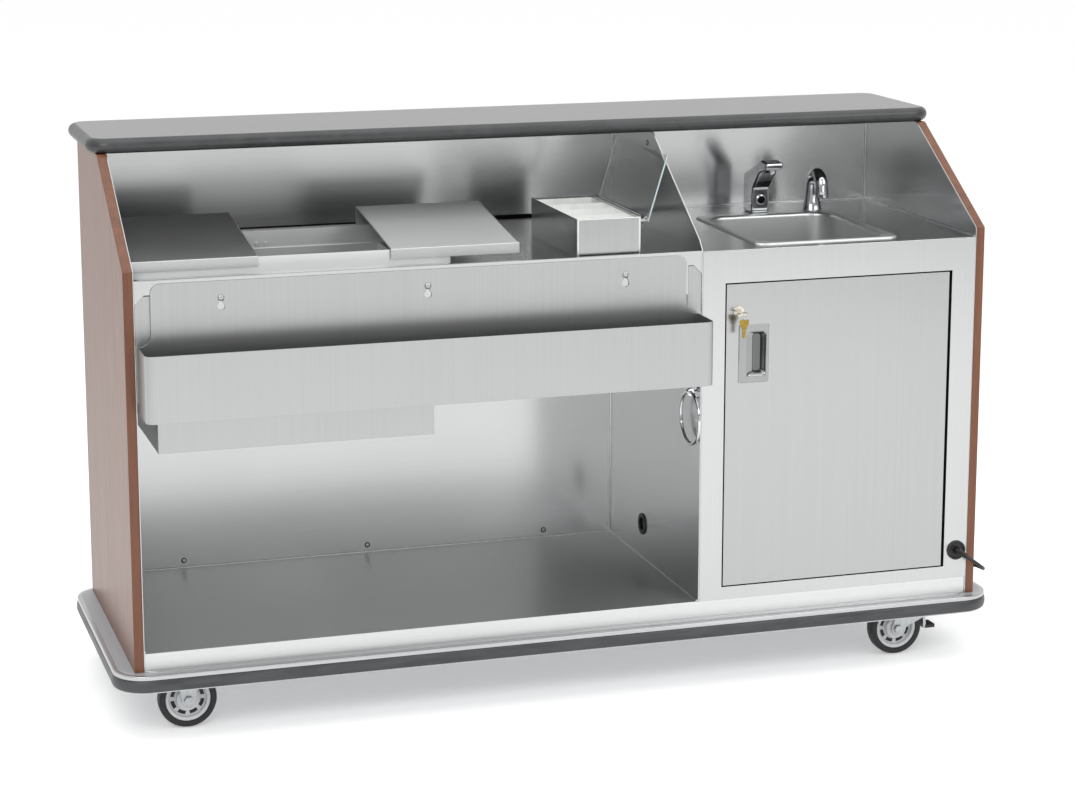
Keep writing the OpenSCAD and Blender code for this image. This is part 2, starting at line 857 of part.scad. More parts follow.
module garnish_lid() {
    y0 = garnish_y + hinge_boss_l + slide_fit;
    y1 = garnish_y + garnish_d - hinge_boss_l - slide_fit;
    color("aliceblue", 0.4) unit() {
        translate([hinge_x, 0, hinge_z]) rotate([0, lid_lean, 0]) {
            slab([acrylic_off - acrylic_t / 2, acrylic_off + acrylic_t / 2], [garnish_y, garnish_y + garnish_d],
                [-hinge_boss_d / 2, acrylic_l]);
            slab([(hinge_pin_d + hinge_boss_d) / 4, acrylic_off], [y0 + acrylic_t, y1 - acrylic_t],
                [-hinge_boss_d / 4, hinge_boss_d / 4]);
        }
        rod_y(hinge_x, y0, hinge_z, hinge_boss_d, y1 - y0);
        rod_y(hinge_x, garnish_y, hinge_z, hinge_pin_d, garnish_d);
    }
}

// Sink counter, bowl and drain
module sink_counter() {
    inset = rim_w - bowl_t - slide_fit;
    color("silver") unit() difference() {
        union() {
            slab([cabinet_x0, inner_x1], [0, back_y], [counter_z - sheet_t, counter_z]);
            slab([cabinet_x0, inner_x1], [back_y - sheet_t, back_y], [counter_z - counter_lip, counter_z]);
        }
        translate([0, 0, counter_z - sheet_t - cut]) linear_extrude(sheet_t + 2 * cut)
            round_rect([sink_x + inset, sink_x + sink_w - inset], [sink_y + inset, sink_y + sink_d - inset],
                bowl_r + bowl_t);
        rod_z(faucet_x, faucet_back_y - faucet_depth / 2, counter_z - sheet_t - cut, shank_d + 2 * slide_fit,
            sheet_t + 2 * cut);
        rod_z(soap_x, soap_y, counter_z - sheet_t - cut, shank_d + 2 * slide_fit, sheet_t + 2 * cut);
    }
}

module sink_bowl() {
    outer = rim_w - bowl_t;
    color("silver") unit() difference() {
        union() {
            translate([0, 0, counter_z]) linear_extrude(rim_t)
                round_rect([sink_x, sink_x + sink_w], [sink_y, sink_y + sink_d], rim_r);
            translate([0, 0, bowl_z - bowl_t]) linear_extrude(bowl_h + bowl_t)
                round_rect([sink_x + outer, sink_x + sink_w - outer], [sink_y + outer, sink_y + sink_d - outer],
                    bowl_r + bowl_t);
        }
        translate([0, 0, bowl_z]) linear_extrude(bowl_h + rim_t + cut)
            round_rect([sink_x + rim_w, sink_x + sink_w - rim_w], [sink_y + rim_w, sink_y + sink_d - rim_w], bowl_r);
        rod_z(sink_mid_x, sink_mid_y, bowl_z - bowl_t - cut, drain_hole_d + 2 * slide_fit, bowl_t + 2 * cut);
    }
}

module sink_drain() {
    color("gainsboro") unit() difference() {
        union() {
            rod_z(sink_mid_x, sink_mid_y, bowl_z, strainer_d, strainer_t);
            rod_z(sink_mid_x, sink_mid_y, bowl_z - bowl_t - nut_t, drain_hole_d, bowl_t + nut_t);
            rod_z(sink_mid_x, sink_mid_y, bowl_z - bowl_t - nut_t, strainer_d, nut_t);
            rod_z(sink_mid_x, sink_mid_y, bowl_z - tail_l, tail_d, tail_l);
        }
        rod_z(sink_mid_x, sink_mid_y, bowl_z - tail_l - cut, tail_d - 2 * bowl_t, tail_l + strainer_t + 2 * cut);
    }
}

// Sensor faucet: a column with a leaning spout
module faucet() {
    y0 = faucet_back_y;
    z0 = counter_z;
    front = y0 - faucet_depth;
    tip = y0 - faucet_reach;
    color("gainsboro") unit() {
        along_x(faucet_x - faucet_w / 2, faucet_w) polygon([[y0, z0], [y0, z0 + faucet_col_h],
            [tip + faucet_head_w, z0 + faucet_col_h + faucet_rise], [tip, z0 + faucet_col_h + faucet_rise - faucet_lip],
            [tip + faucet_lip, z0 + faucet_col_h + faucet_rise - faucet_lip - faucet_head_h],
            [tip + faucet_head_w, z0 + faucet_under_h], [front - faucet_lip, z0 + faucet_throat], [front, z0]]);
        rod_z(faucet_x, y0 - faucet_depth / 2, z0 - shank_l, shank_d, shank_l);
        rod_z(faucet_x, y0 - faucet_depth / 2, z0 - sheet_t - nut_t, nut_d, nut_t);
    }
}

module faucet_sensor() {
    front = faucet_back_y - faucet_depth - faucet_lip * (sensor_h + sensor_d / 2) / faucet_throat;
    color("black") unit() rod_y(faucet_x, front - sensor_t, counter_z + sensor_h, sensor_d, sensor_t);
}

module soap_spout() {
    arch_z = counter_z + soap_col_h;
    arch_y = soap_y - soap_arch_r;
    tip_y = soap_y - 2 * soap_arch_r;
    color("gainsboro") unit() {
        rod_z(soap_x, soap_y, counter_z, soap_base_d, soap_base_t);
        translate([soap_x, soap_y, counter_z]) cylinder(d1 = soap_col_d, d2 = soap_neck_d, h = soap_col_h);
        translate([soap_x, arch_y, arch_z]) rotate([90, 0, 90]) rotate_extrude(angle = 180)
            translate([soap_arch_r, 0]) circle(d = soap_neck_d);
        translate([soap_x, tip_y, arch_z - soap_tip_l]) cylinder(d1 = soap_tip_d, d2 = soap_neck_d, h = soap_tip_l);
        rod_z(soap_x, tip_y, arch_z - soap_tip_l - soap_nozzle_l, soap_nozzle_d, soap_nozzle_l);
        rod_z(soap_x, soap_y, counter_z - sheet_t - soap_neck_l, shank_d, sheet_t + soap_neck_l);
    }
}

module soap_bottle() {
    neck_z = counter_z - sheet_t - soap_neck_l;
    color("whitesmoke") unit() {
        rod_z(soap_x, soap_y, neck_z - soap_bottle_h, soap_bottle_d, soap_bottle_h);
        difference() {
            rod_z(soap_x, soap_y, neck_z, nut_d, soap_neck_l - nut_t);
            rod_z(soap_x, soap_y, neck_z, shank_d + 2 * pin_fit, soap_neck_l);
        }
    }
}

// Cabinet front: a face sheet with jambs round the door opening and pivot bushes
module cabinet_frame() {
    ring_x = [door_x - sheet_t, door_x1 + sheet_t];
    ring_z = [door_z - sheet_t, door_z1 + sheet_t];
    color("silver") unit() difference() {
        union() {
            slab([cabinet_x0, inner_x1], [0, sheet_t], [floor_z, counter_z - sheet_t]);
            slab(ring_x, [0, jamb_d], ring_z);
            rod_z(pivot_x, pivot_y, ring_z[1], pivot_boss_d, pivot_boss_h);
            rod_z(pivot_x, pivot_y, ring_z[0] - pivot_boss_h, pivot_boss_d, pivot_boss_h);
        }
        slab([door_x, door_x1], [-cut, jamb_d + cut], [door_z, door_z1]);
        rod_z(pivot_x, pivot_y, ring_z[0] - pivot_boss_h - cut, pivot_d + 2 * pin_fit,
            ring_z[1] - ring_z[0] + 2 * pivot_boss_h + 2 * cut);
        rod_y(power_x, -cut, power_z, power_hole, sheet_t + 2 * cut);
    }
}

module door() {
    color("lightgray") unit() {
        difference() {
            slab([leaf_x0, leaf_x1], [0, door_t], [leaf_z0, leaf_z1]);
            slab([leaf_x0 + leaf_sheet, leaf_x1 - leaf_sheet], [leaf_sheet, door_t + cut],
                [leaf_z0 + leaf_sheet, leaf_z1 - leaf_sheet]);
            along_y(-cut, leaf_sheet + 2 * cut) round_rect([cup_x - cup_wall, cup_x + cup_w + cup_wall],
                [cup_z - cup_wall, cup_z + cup_h + cup_wall], cup_r + cup_wall);
            rod_y(lock_x, -cut, lock_z, lock_barrel_d + 2 * pin_fit, leaf_sheet + 2 * cut);
        }
        rod_z(pivot_x, pivot_y, leaf_z1 - leaf_sheet, pivot_d, door_gap + sheet_t + pivot_boss_h + leaf_sheet);
        rod_z(pivot_x, pivot_y, door_z - sheet_t - pivot_boss_h, pivot_d,
            door_gap + sheet_t + pivot_boss_h + leaf_sheet);
    }
}

// Recessed pull: a plate with a cup behind it
module door_pull() {
    color("gainsboro") unit() difference() {
        union() {
            slab([pull_x, pull_x + pull_w], [-pull_plate_t, 0], [pull_z, pull_z + pull_h]);
            along_y(-pull_plate_t, pull_plate_t + cup_d) round_rect([cup_x - cup_wall, cup_x + cup_w + cup_wall],
                [cup_z - cup_wall, cup_z + cup_h + cup_wall], cup_r + cup_wall);
        }
        along_y(-pull_plate_t - cut, pull_plate_t + cut + cup_d - cup_wall)
            round_rect([cup_x, cup_x + cup_w], [cup_z, cup_z + cup_h], cup_r);
    }
}

// Cam lock: body, turning plug with cam and key, and the spare key on its ring
module lock_body() {
    color("gainsboro") unit() difference() {
        union() {
            rod_y(lock_x, -lock_bezel_t, lock_z, lock_bezel_d, lock_bezel_t);
            rod_y(lock_x, -lock_bezel_t, lock_z, lock_barrel_d, lock_bezel_t + lock_l);
        }
        rod_y(lock_x, -lock_bezel_t - cut, lock_z, lock_plug_d + 2 * pin_fit, lock_bezel_t + lock_l + 2 * cut);
    }
}

module lock_plug() {
    bow_y = -lock_bezel_t - key_stem - key_bow_d / 2;
    color("khaki") unit() {
        rod_y(lock_x, -lock_bezel_t, lock_z, lock_plug_d, lock_bezel_t + lock_l + slide_fit);
        slab([lock_x - cam_w / 2, lock_x + cam_w / 2], [lock_l + slide_fit, lock_l + slide_fit + cam_t],
            [lock_z - cam_l, lock_z + cam_w / 2]);
        difference() {
            union() {
                rod_z(lock_x, bow_y, lock_z - key_t / 2, key_bow_d, key_t);
                slab([lock_x - key_stem_w / 2, lock_x + key_stem_w / 2], [bow_y, -lock_bezel_t],
                    [lock_z - key_t / 2, lock_z + key_t / 2]);
            }
            rod_z(lock_x, key_hole_y, lock_z - key_t, key_hole_d, 2 * key_t);
        }
    }
}

module hanging_key() {
    bow_z = key_ring_z - key_ring_r - key_bow_d / 2 + 2 * key_wire;
    hang_y = key_ring_y;
    color("goldenrod") unit() {
        translate([lock_x, hang_y, key_ring_z]) rotate([0, 90, 0])
            rotate_extrude() translate([key_ring_r, 0]) circle(d = key_wire);
        rod_y(lock_x, hang_y - key_t / 2, bow_z, key_bow_d, key_t);
        slab([lock_x - key_blade_w / 2, lock_x + key_blade_w / 2], [hang_y - key_t / 2, hang_y + key_t / 2],
            [bow_z - key_bow_d / 2 - key_blade_l, bow_z]);
    }
}

// Rubber grommets
module power_grommet() {
    color("black") unit() {
        rod_y(power_x, -power_lip_t, power_z, power_lip_d, power_lip_t);
        rod_y(power_x, -power_lip_t - power_nub_l, power_z, power_nub_d, power_nub_l);
        rod_y(power_x, 0, power_z, power_hole, sheet_t);
        rod_y(power_x, sheet_t, power_z, power_lip_d, power_lip_t);
    }
}

module wall_grommet() {
    lip_d = wall_grommet_hole + 2 * wall_grommet_lip;
    x0 = divider_x - wall_grommet_lip_t;
    color("black") unit() difference() {
        union() {
            rod_x(x0, wall_grommet_y, wall_grommet_z, lip_d, wall_grommet_lip_t);
            rod_x(divider_x, wall_grommet_y, wall_grommet_z, wall_grommet_hole, divider_t);
            rod_x(divider_x + divider_t, wall_grommet_y, wall_grommet_z, lip_d, wall_grommet_lip_t);
        }
        rod_x(x0 - cut, wall_grommet_y, wall_grommet_z, wall_grommet_bore,
            divider_t + 2 * wall_grommet_lip_t + 2 * cut);
    }
}

// Water system: two tanks, their caps, the pump and its hoses
module tank(x) {
    mid_x = x + tank_w / 2;
    mid_tank_y = tank_y + tank_d / 2;
    translate([0, 0, floor_z]) linear_extrude(tank_h)
        round_rect([x, x + tank_w], [tank_y, tank_y + tank_d], tank_r);
    rod_z(mid_x, mid_tank_y, floor_z + tank_h, tank_neck_d, tank_neck_h);
}

module fresh_tank() {
    color("white") unit() tank(fresh_x);
}

module waste_tank() {
    color("lightgray") unit() tank(waste_x);
}

module tank_caps() {
    color("royalblue") unit() for (x = [fresh_x, waste_x])
        rod_z(x + tank_w / 2, tank_y + tank_d / 2, floor_z + tank_h + tank_neck_h, cap_d, cap_h);
}

module pump() {
    axis_z = floor_z + pump_foot_t - pump_sink + pump_d / 2;
    half = pump_d / 2 + pump_edge;
    head_z = axis_z + half;
    color("dimgray") unit() {
        rod_x(pump_x, pump_y, axis_z, pump_d, pump_l);
        slab([pump_x + pump_l, pump_x + pump_l + pump_head], [pump_y - half, pump_y + half], [floor_z, head_z]);
        slab([pump_x, pump_x + pump_l + pump_head], [pump_y - half, pump_y + half], [floor_z, floor_z + pump_foot_t]);
        for (side = [-1, 1])
            rod_z(pump_x + pump_l + pump_head / 2 + side * pump_port_d, pump_y, head_z, pump_port_d, pump_port_l);
    }
}

// Smooth points through a hand-chosen route
function spline_point(a, b, c, d, s) = 0.5 * (2 * b + (c - a) * s + (2 * a - 5 * b + 4 * c - d) * s * s
    + (3 * b - a - 3 * c + d) * s * s * s);
function smooth(route, steps) = [for (i = [0 : len(route) - 2]) for (k = [0 : steps - 1])
    spline_point(route[max(i - 1, 0)], route[i], route[i + 1], route[min(i + 2, len(route) - 1)], k / steps),
    route[len(route) - 1]];
steep_share = 0.9;
function unit_of(v) = v / norm(v);
function tangents(p) = [for (i = [0 : len(p) - 1]) unit_of(p[min(i + 1, len(p) - 1)] - p[max(i - 1, 0)])];
function carried(n, t) = unit_of(n - (n * t) * t);
function normals(t, i = 0, list = []) = i == len(t) ? list
    : normals(t, i + 1, concat(list, [i == 0 ? carried(abs(t[0][2]) > steep_share ? [1, 0, 0] : [0, 0, 1], t[0]) : carried(list[i - 1], t[i])]));
function length_of(p, i = 1, sum = 0) = i >= len(p) ? sum : length_of(p, i + 1, sum + norm(p[i] - p[i - 1]));

// One closed tube along points
module tube(path, d, sides) {
    t = tangents(path);
    n = normals(t);
    last = len(path) - 1;
    points = [for (i = [0 : last]) for (k = [0 : sides - 1])
        path[i] + d / 2 * (cos(360 * k / sides) * n[i] + sin(360 * k / sides) * cross(t[i], n[i]))];
    walls = [for (i = [0 : last - 1]) for (k = [0 : sides - 1]) let (m = (k + 1) % sides)
        each [[i * sides + k, (i + 1) * sides + k, (i + 1) * sides + m],
            [i * sides + k, (i + 1) * sides + m, i * sides + m]]];
    caps = [for (k = [1 : sides - 2]) each [[0, k, k + 1],
        [last * sides, last * sides + k + 1, last * sides + k]]];
    polyhedron(points, concat(walls, caps), convexity = 10);
}

module water_hoses() {
    port_z = floor_z + pump_foot_t - pump_sink + pump_d + pump_edge + pump_port_l;
    port_x = pump_x + pump_l + pump_head / 2;
    cap_z = floor_z + tank_h + tank_neck_h + cap_h;
    mid_tank_y = tank_y + tank_d / 2;
    fresh_mid = fresh_x + tank_w / 2;
    waste_mid = waste_x + tank_w / 2;
    shank_y = faucet_back_y - faucet_depth / 2;
    shank_z = counter_z - shank_l;
    hose_bend = 3 * hose_d;
    drain_bend = 2 * waste_d;
    tail_z = bowl_z - tail_l;
    suction_x = port_x - pump_port_d;
    supply_x = port_x + pump_port_d;
    suction = [[fresh_mid, mid_tank_y, cap_z + hose_d], [fresh_mid, mid_tank_y, cap_z + hose_bend],
        [fresh_mid + hose_bend, mid_tank_y - hose_bend, cap_z + 2 * hose_bend],
        [suction_x - 2 * hose_bend, pump_y + hose_bend, cap_z], [suction_x, pump_y, port_z + 2 * hose_bend],
        [suction_x, pump_y, port_z + hose_bend], [suction_x, pump_y, port_z + hose_d]];
    supply = [[supply_x, pump_y, port_z + hose_d], [supply_x, pump_y, port_z + hose_bend],
        [supply_x, pump_y + hose_bend, port_z + 3 * hose_bend], [faucet_x, shank_y, shank_z - 4 * hose_bend],
        [faucet_x, shank_y, shank_z - hose_bend], [faucet_x, shank_y, shank_z - hose_d]];
    waste = [[sink_mid_x, sink_mid_y, tail_z - waste_d / 2], [sink_mid_x, sink_mid_y, tail_z - drain_bend / 2],
        [sink_mid_x + drain_bend, sink_mid_y + drain_bend, tail_z - drain_bend],
        [waste_mid - drain_bend / 4, mid_tank_y - drain_bend / 2, cap_z + drain_bend],
        [waste_mid, mid_tank_y, cap_z + drain_bend / 2], [waste_mid, mid_tank_y, cap_z + waste_d / 2]];
    color("lightsteelblue") unit() {
        tube(concat([[fresh_mid, mid_tank_y, cap_z]], smooth(suction, hose_steps), [[suction_x, pump_y, port_z]]),
            hose_d, cord_sides);
        tube(concat([[supply_x, pump_y, port_z]], smooth(supply, hose_steps), [[faucet_x, shank_y, shank_z]]),
            hose_d, cord_sides);
        tube(concat([[sink_mid_x, sink_mid_y, tail_z]], smooth(waste, hose_steps), [[waste_mid, mid_tank_y, cap_z]]),
            waste_d, cord_sides);
    }
}

// Towel ring on the divider
module towel_bracket() {
    ring_x = divider_x - ring_off;
    color("gainsboro") unit() difference() {
        union() {
            rod_x(divider_x - ring_plate_t, ring_y, ring_top_z, ring_plate_d, ring_plate_t);
            rod_x(ring_x, ring_y, ring_top_z, ring_eye_l, ring_off);
            rod_y(ring_x, ring_y - ring_eye_l / 2, ring_top_z, ring_eye_d, ring_eye_l);
        }
        rod_y(ring_x, ring_y - ring_eye_l, ring_top_z, ring_wire + 2 * slide_fit, 2 * ring_eye_l);
    }
}

module towel_ring() {
    color("gainsboro") unit() translate([divider_x - ring_off, ring_y, ring_top_z - ring_r]) rotate([0, 90, 0])
        rotate_extrude() translate([ring_r, 0]) circle(d = ring_wire);
}

// Casters: the left pair is rigid, the right pair swivels and has brakes
caster_ys = [caster_y, body_d - caster_y];
right_caster_x = body_w - caster_x;

// One fork leg, drawn from the swivel axis, with the axle behind it by the trail
module leg_outline(back, top) {
    polygon([[-leg_top_w / 2, top], [leg_top_w / 2, top], [leg_end_r - back, wheel_r], [-leg_end_r - back, wheel_r]]);
    translate([-back, wheel_r]) circle(leg_end_r);
}

module axle_at(x, y) {
    half = leg_y + leg_t;
    rod_y(x, y - half, wheel_r, axle_d, 2 * half);
    for (side = [-1, 1])
        translate([x, y + side * (half + nut_h / 2), wheel_r]) rotate([90, 0, 0])
            cylinder(d = nut_across, h = nut_h, center = true, $fn = 6);
}

module rigid_casters() {
    top = deck_z - deck_t;
    color("gainsboro") unit() for (y = caster_ys) translate([caster_x, y, 0]) {
        slab([-plate_w / 2, plate_w / 2], [-plate_d / 2, plate_d / 2], [top - plate_t, top]);
        for (y0 = [leg_y, -leg_y - leg_t])
            along_y(y0, leg_t) leg_outline(0, top - plate_t);
        axle_at(0, 0);
    }
}

module swivel_plates() {
    top = deck_z - deck_t;
    color("gainsboro") unit() for (y = caster_ys) translate([right_caster_x, y, 0]) {
        slab([-plate_w / 2, plate_w / 2], [-plate_d / 2, plate_d / 2], [top - plate_t, top]);
        rod_z(0, 0, top - plate_t - race_h, race_d, race_h);
        rod_z(0, 0, crown_z1 - crown_t, king_d, top - crown_z1 + crown_t);
    }
}

module fork() {
    difference() {
        union() {
            rod_z(0, 0, crown_z1 - crown_t, crown_d, crown_t);
            for (y0 = [leg_y, -leg_y - leg_t]) along_y(y0, leg_t) {
                leg_outline(trail, crown_z1);
                translate([brake_x, brake_z]) circle(brake_lug_r);
                polygon([[0, crown_z1], [leg_top_w / 2, crown_z1], [brake_x + brake_lug_r, brake_z],
                    [brake_x, brake_z - brake_lug_r], [leg_end_r - trail, wheel_r]]);
            }
        }
        rod_z(0, 0, crown_z1 - crown_t - cut, king_d + 2 * pin_fit, crown_t + 2 * cut);
        rod_y(brake_x, -leg_y - leg_t - cut, brake_z, brake_pin_d + 2 * pin_fit, 2 * (leg_y + leg_t + cut));
    }
    axle_at(-trail, 0);
}

module right_front_fork() {
    color("gainsboro") unit() translate([right_caster_x, caster_ys[0], 0]) fork();
}

module right_rear_fork() {
    color("gainsboro") unit() translate([right_caster_x, caster_ys[1], 0]) fork();
}

// Wheel: a moulded tyre on a hub whose web has arc slots
module tyre_section() {
    half = tyre_w / 2;
    translate([rim_r1, -half]) square([wheel_r - rim_r1 - tyre_round, tyre_w]);
    translate([rim_r1, -half + tyre_round]) square([wheel_r - rim_r1, tyre_w - 2 * tyre_round]);
    for (z = [-half + tyre_round, half - tyre_round])
        translate([wheel_r - tyre_round, z]) circle(tyre_round);
}

module wheel() {
    mid_r = (rim_r0 + hub_r) / 2;
    hub_w = tyre_w + 2 * leg_gap - 2 * slide_fit;
    rotate([90, 0, 0]) {
        color("black") rotate_extrude() tyre_section();
        color("lightgray") difference() {
            union() {
                rotate_extrude() translate([rim_r0, -tyre_w / 2]) square([rim_r1 - rim_r0, tyre_w]);
                cylinder(r = rim_r0, h = hub_web_t, center = true);
                cylinder(r = hub_r, h = hub_w, center = true);
            }
            cylinder(d = axle_d + 2 * pin_fit, h = hub_w + 2 * cut, center = true);
            for (i = [0 : slot_count - 1])
                rotate([0, 0, i * 360 / slot_count]) rotate_extrude(angle = slot_angle)
                    translate([mid_r - slot_w / 2, -hub_web_t]) square([slot_w, 2 * hub_web_t]);
        }
    }
}

module left_front_wheel() {
    unit() translate([caster_x, caster_ys[0], wheel_r]) wheel();
}

module left_rear_wheel() {
    unit() translate([caster_x, caster_ys[1], wheel_r]) wheel();
}

module right_front_wheel() {
    unit() translate([right_caster_x - trail, caster_ys[0], wheel_r]) wheel();
}

module right_rear_wheel() {
    unit() translate([right_caster_x - trail, caster_ys[1], wheel_r]) wheel();
}

// Brake lever: an arm in front of the tyre with a foot pad, on a pin through the fork's lugs
module brake() {
    arm_x0 = wheel_r - trail + brake_gap;
    pad_z1 = brake_pad_z + brake_pad_t;
    half = brake_w / 2;
    along_y(-half, brake_w) {
        translate([brake_x, brake_z]) circle(brake_eye_r);
        polygon([[brake_x, brake_z + brake_eye_r], [brake_x + brake_eye_r, brake_z],
            [arm_x0 + brake_arm_t, pad_z1], [arm_x0 + brake_pad_l, pad_z1], [arm_x0 + brake_pad_l, brake_pad_z],
            [arm_x0, brake_pad_z]]);
    }
    rod_y(brake_x, -leg_y - leg_t, brake_z, brake_pin_d, 2 * (leg_y + leg_t));
}

module right_front_brake() {
    color("dimgray") unit() translate([right_caster_x, caster_ys[0], 0]) brake();
}

module right_rear_brake() {
    color("dimgray") unit() translate([right_caster_x, caster_ys[1], 0]) brake();
}

// Mains cord: the run from the grommet, a coil that spirals in and out in two layers, and the plug
cord_start = [power_x, -power_lip_t - power_nub_l, power_z];
coil_in = [coil_x + cord_d, coil_y + coil_d / 2, cord_d / 2 + coil_gap];
cord_path = concat([cord_start], smooth(cord_route, cord_steps), [coil_in]);

module cord_run() {
    color("black") unit() tube(cord_path, cord_d, cord_sides);
}

coil_pitch = cord_d + coil_gap;
coil_z0 = cord_d / 2 + coil_gap;
coil_climb_share = 0.25 / coil_loops;
function coil_radius(s) = coil_d / 2 - coil_pitch * min(s, 1 - s) * coil_loops;
function coil_layer(s) = coil_pitch * max(0, min(1, (s - 0.5 + coil_climb_share) / (2 * coil_climb_share)));
function coil_point(s) = let (a = 90 + 360 * coil_loops * s)
    [coil_x + coil_radius(s) * cos(a), coil_y + coil_radius(s) * sin(a), coil_z0 + coil_layer(s)];
coil_count = coil_loops * coil_rings;
coil_turns = [for (i = [0 : coil_count]) coil_point(i / coil_count)];
coil_out = [coil_x - coil_tail, coil_y + coil_d / 2, coil_z0 + coil_pitch];
coil_path = concat([coil_in], coil_turns, [coil_out]);
coil_min_gap = min([for (i = [0 : coil_count]) for (j = [i + coil_rings / 2 : 1 : coil_count])
    norm(coil_turns[i] - coil_turns[j])]) - cord_d;
echo(coil_least_gap = coil_min_gap);
echo(cord_length = length_of(cord_path) + length_of(coil_path));

module cord_coil() {
    color("black") unit() tube(coil_path, cord_d, coil_sides);
}

module cord_plug() {
    color("black") unit() translate(coil_out) rotate([0, -90, 0]) {
        cylinder(d = plug_nose_d, h = plug_nose_l);
        translate([0, 0, plug_nose_l]) cylinder(d = plug_d, h = plug_l);
        for (side = [-1, 1])
            translate([0, side * pin_pitch / 2, plug_nose_l + plug_l + pin_l / 2]) cube([pin_w, pin_t, pin_l], center = true);
        translate([pin_pitch / 2, 0, plug_nose_l + plug_l]) cylinder(d = earth_d, h = pin_l);
    }
}

deck();
bumper_channel();
bumper_strip();
left_end_panel();
right_end_panel();
end_liners();
customer_panel();
back_liner();
bar_top();
bar_top_edge();
divider();
storage_floor();
ice_fascia();
work_top();
ice_bin();
bin_casing();
lid_rail();
studs_and_screws();
sink_counter();
sink_bowl();
sink_drain();
faucet();
faucet_sensor();
soap_spout();
soap_bottle();
cabinet_frame();
power_grommet();
wall_grommet();
fresh_tank();
waste_tank();
tank_caps();
pump();
water_hoses();
speed_rail();
left_ice_lid();
right_ice_lid();
garnish_box();
garnish_insert();
garnish_lid();
door();
door_pull();
lock_body();
lock_plug();
hanging_key();
towel_bracket();
towel_ring();
rigid_casters();
swivel_plates();
right_front_fork();
right_rear_fork();
left_front_wheel();
left_rear_wheel();
right_front_wheel();
right_rear_wheel();
right_front_brake();
right_rear_brake();
cord_run();
cord_coil();
cord_plug();
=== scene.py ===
# Looks of a mobile bar unit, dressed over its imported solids
import json
import math

import bmesh
import bpy
from mathutils import Matrix, Vector

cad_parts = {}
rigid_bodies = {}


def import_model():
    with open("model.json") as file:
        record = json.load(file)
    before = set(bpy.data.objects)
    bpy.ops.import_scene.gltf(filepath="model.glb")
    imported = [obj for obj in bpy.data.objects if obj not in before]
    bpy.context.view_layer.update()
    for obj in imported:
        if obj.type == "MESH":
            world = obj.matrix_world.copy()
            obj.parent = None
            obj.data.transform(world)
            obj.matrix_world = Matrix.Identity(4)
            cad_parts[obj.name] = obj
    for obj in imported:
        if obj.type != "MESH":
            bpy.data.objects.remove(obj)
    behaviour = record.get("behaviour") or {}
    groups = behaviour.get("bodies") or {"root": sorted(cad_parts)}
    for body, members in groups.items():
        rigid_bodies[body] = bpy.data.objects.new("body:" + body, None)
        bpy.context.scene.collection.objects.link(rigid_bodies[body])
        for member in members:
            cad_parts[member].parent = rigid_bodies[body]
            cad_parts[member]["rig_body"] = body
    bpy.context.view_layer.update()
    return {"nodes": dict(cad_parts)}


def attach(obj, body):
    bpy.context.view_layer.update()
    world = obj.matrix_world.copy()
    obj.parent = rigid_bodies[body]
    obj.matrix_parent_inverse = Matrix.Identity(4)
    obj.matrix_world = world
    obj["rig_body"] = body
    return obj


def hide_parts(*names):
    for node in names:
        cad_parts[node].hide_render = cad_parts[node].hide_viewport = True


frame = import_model()
NODES = frame["nodes"]
SCENE = bpy.context.scene

# Shapes are drawn in gauge millimetres: x from the left panel, y from the bartender's face, z from the floor
GAUGE = Matrix.Scale(0.001, 4) @ Matrix.Translation((-954, -278.5, 0))


def at(x, y, z):
    """A gauge point in the part's frame, in metres."""
    return GAUGE @ Vector((x, y, z))


# Camera at the photograph's angle
def set_camera():
    eye = bpy.data.cameras.new("camera")
    eye.sensor_width = 36
    eye.lens = 88.858
    eye.shift_y = -0.0698
    stand = bpy.data.objects.new("camera", eye)
    SCENE.collection.objects.link(stand)
    stand.location = at(-767.5, -5234.6, 1939.1)
    tilt, turn = math.radians(90 - 11.396), math.radians(-17.379)
    stand.rotation_euler = (tilt, 0, turn)
    SCENE.camera = stand


# Materials: one function adds a node, one turns a hex colour linear, one starts a material
def add(tree, kind, inputs=None, **settings):
    """Add a node with its settings; an input is a value or the socket that feeds it."""
    made = tree.nodes.new(kind)
    for key, value in settings.items():
        setattr(made, key, value)
    for key, value in (inputs or {}).items():
        if isinstance(value, bpy.types.NodeSocket):
            tree.links.new(value, made.inputs[key])
        else:
            made.inputs[key].default_value = value
    return made


def linear(hexa):
    """An sRGB hex colour as linear red, green, blue and alpha."""
    parts = [int(hexa[i:i + 2], 16) / 255 for i in (1, 3, 5)]
    return [c / 12.92 if c <= 0.04045 else ((c + 0.055) / 1.055) ** 2.4 for c in parts] + [1.0]


def start(name):
    """A new material with its tree, its shader and the piece's own coordinates."""
    made = bpy.data.materials.new(name)
    made.use_nodes = True
    tree = made.node_tree
    return made, tree, tree.nodes["Principled BSDF"], add(tree, "ShaderNodeTexCoord").outputs["Object"]


def grain_scale(along, length, width):
    """Mapping scale of streaks that run along one axis, from their length and width in millimetres."""
    return [1000 / (length if axis == along else width) for axis in "XYZ"]


# The steel's streaks and wiped patches in millimetres, and how far a patch changes its roughness
STREAK_LENGTH, STREAK_WIDTH, PATCH_WIDTH, PATCH_SPREAD = 700, 3, 260, 0.03


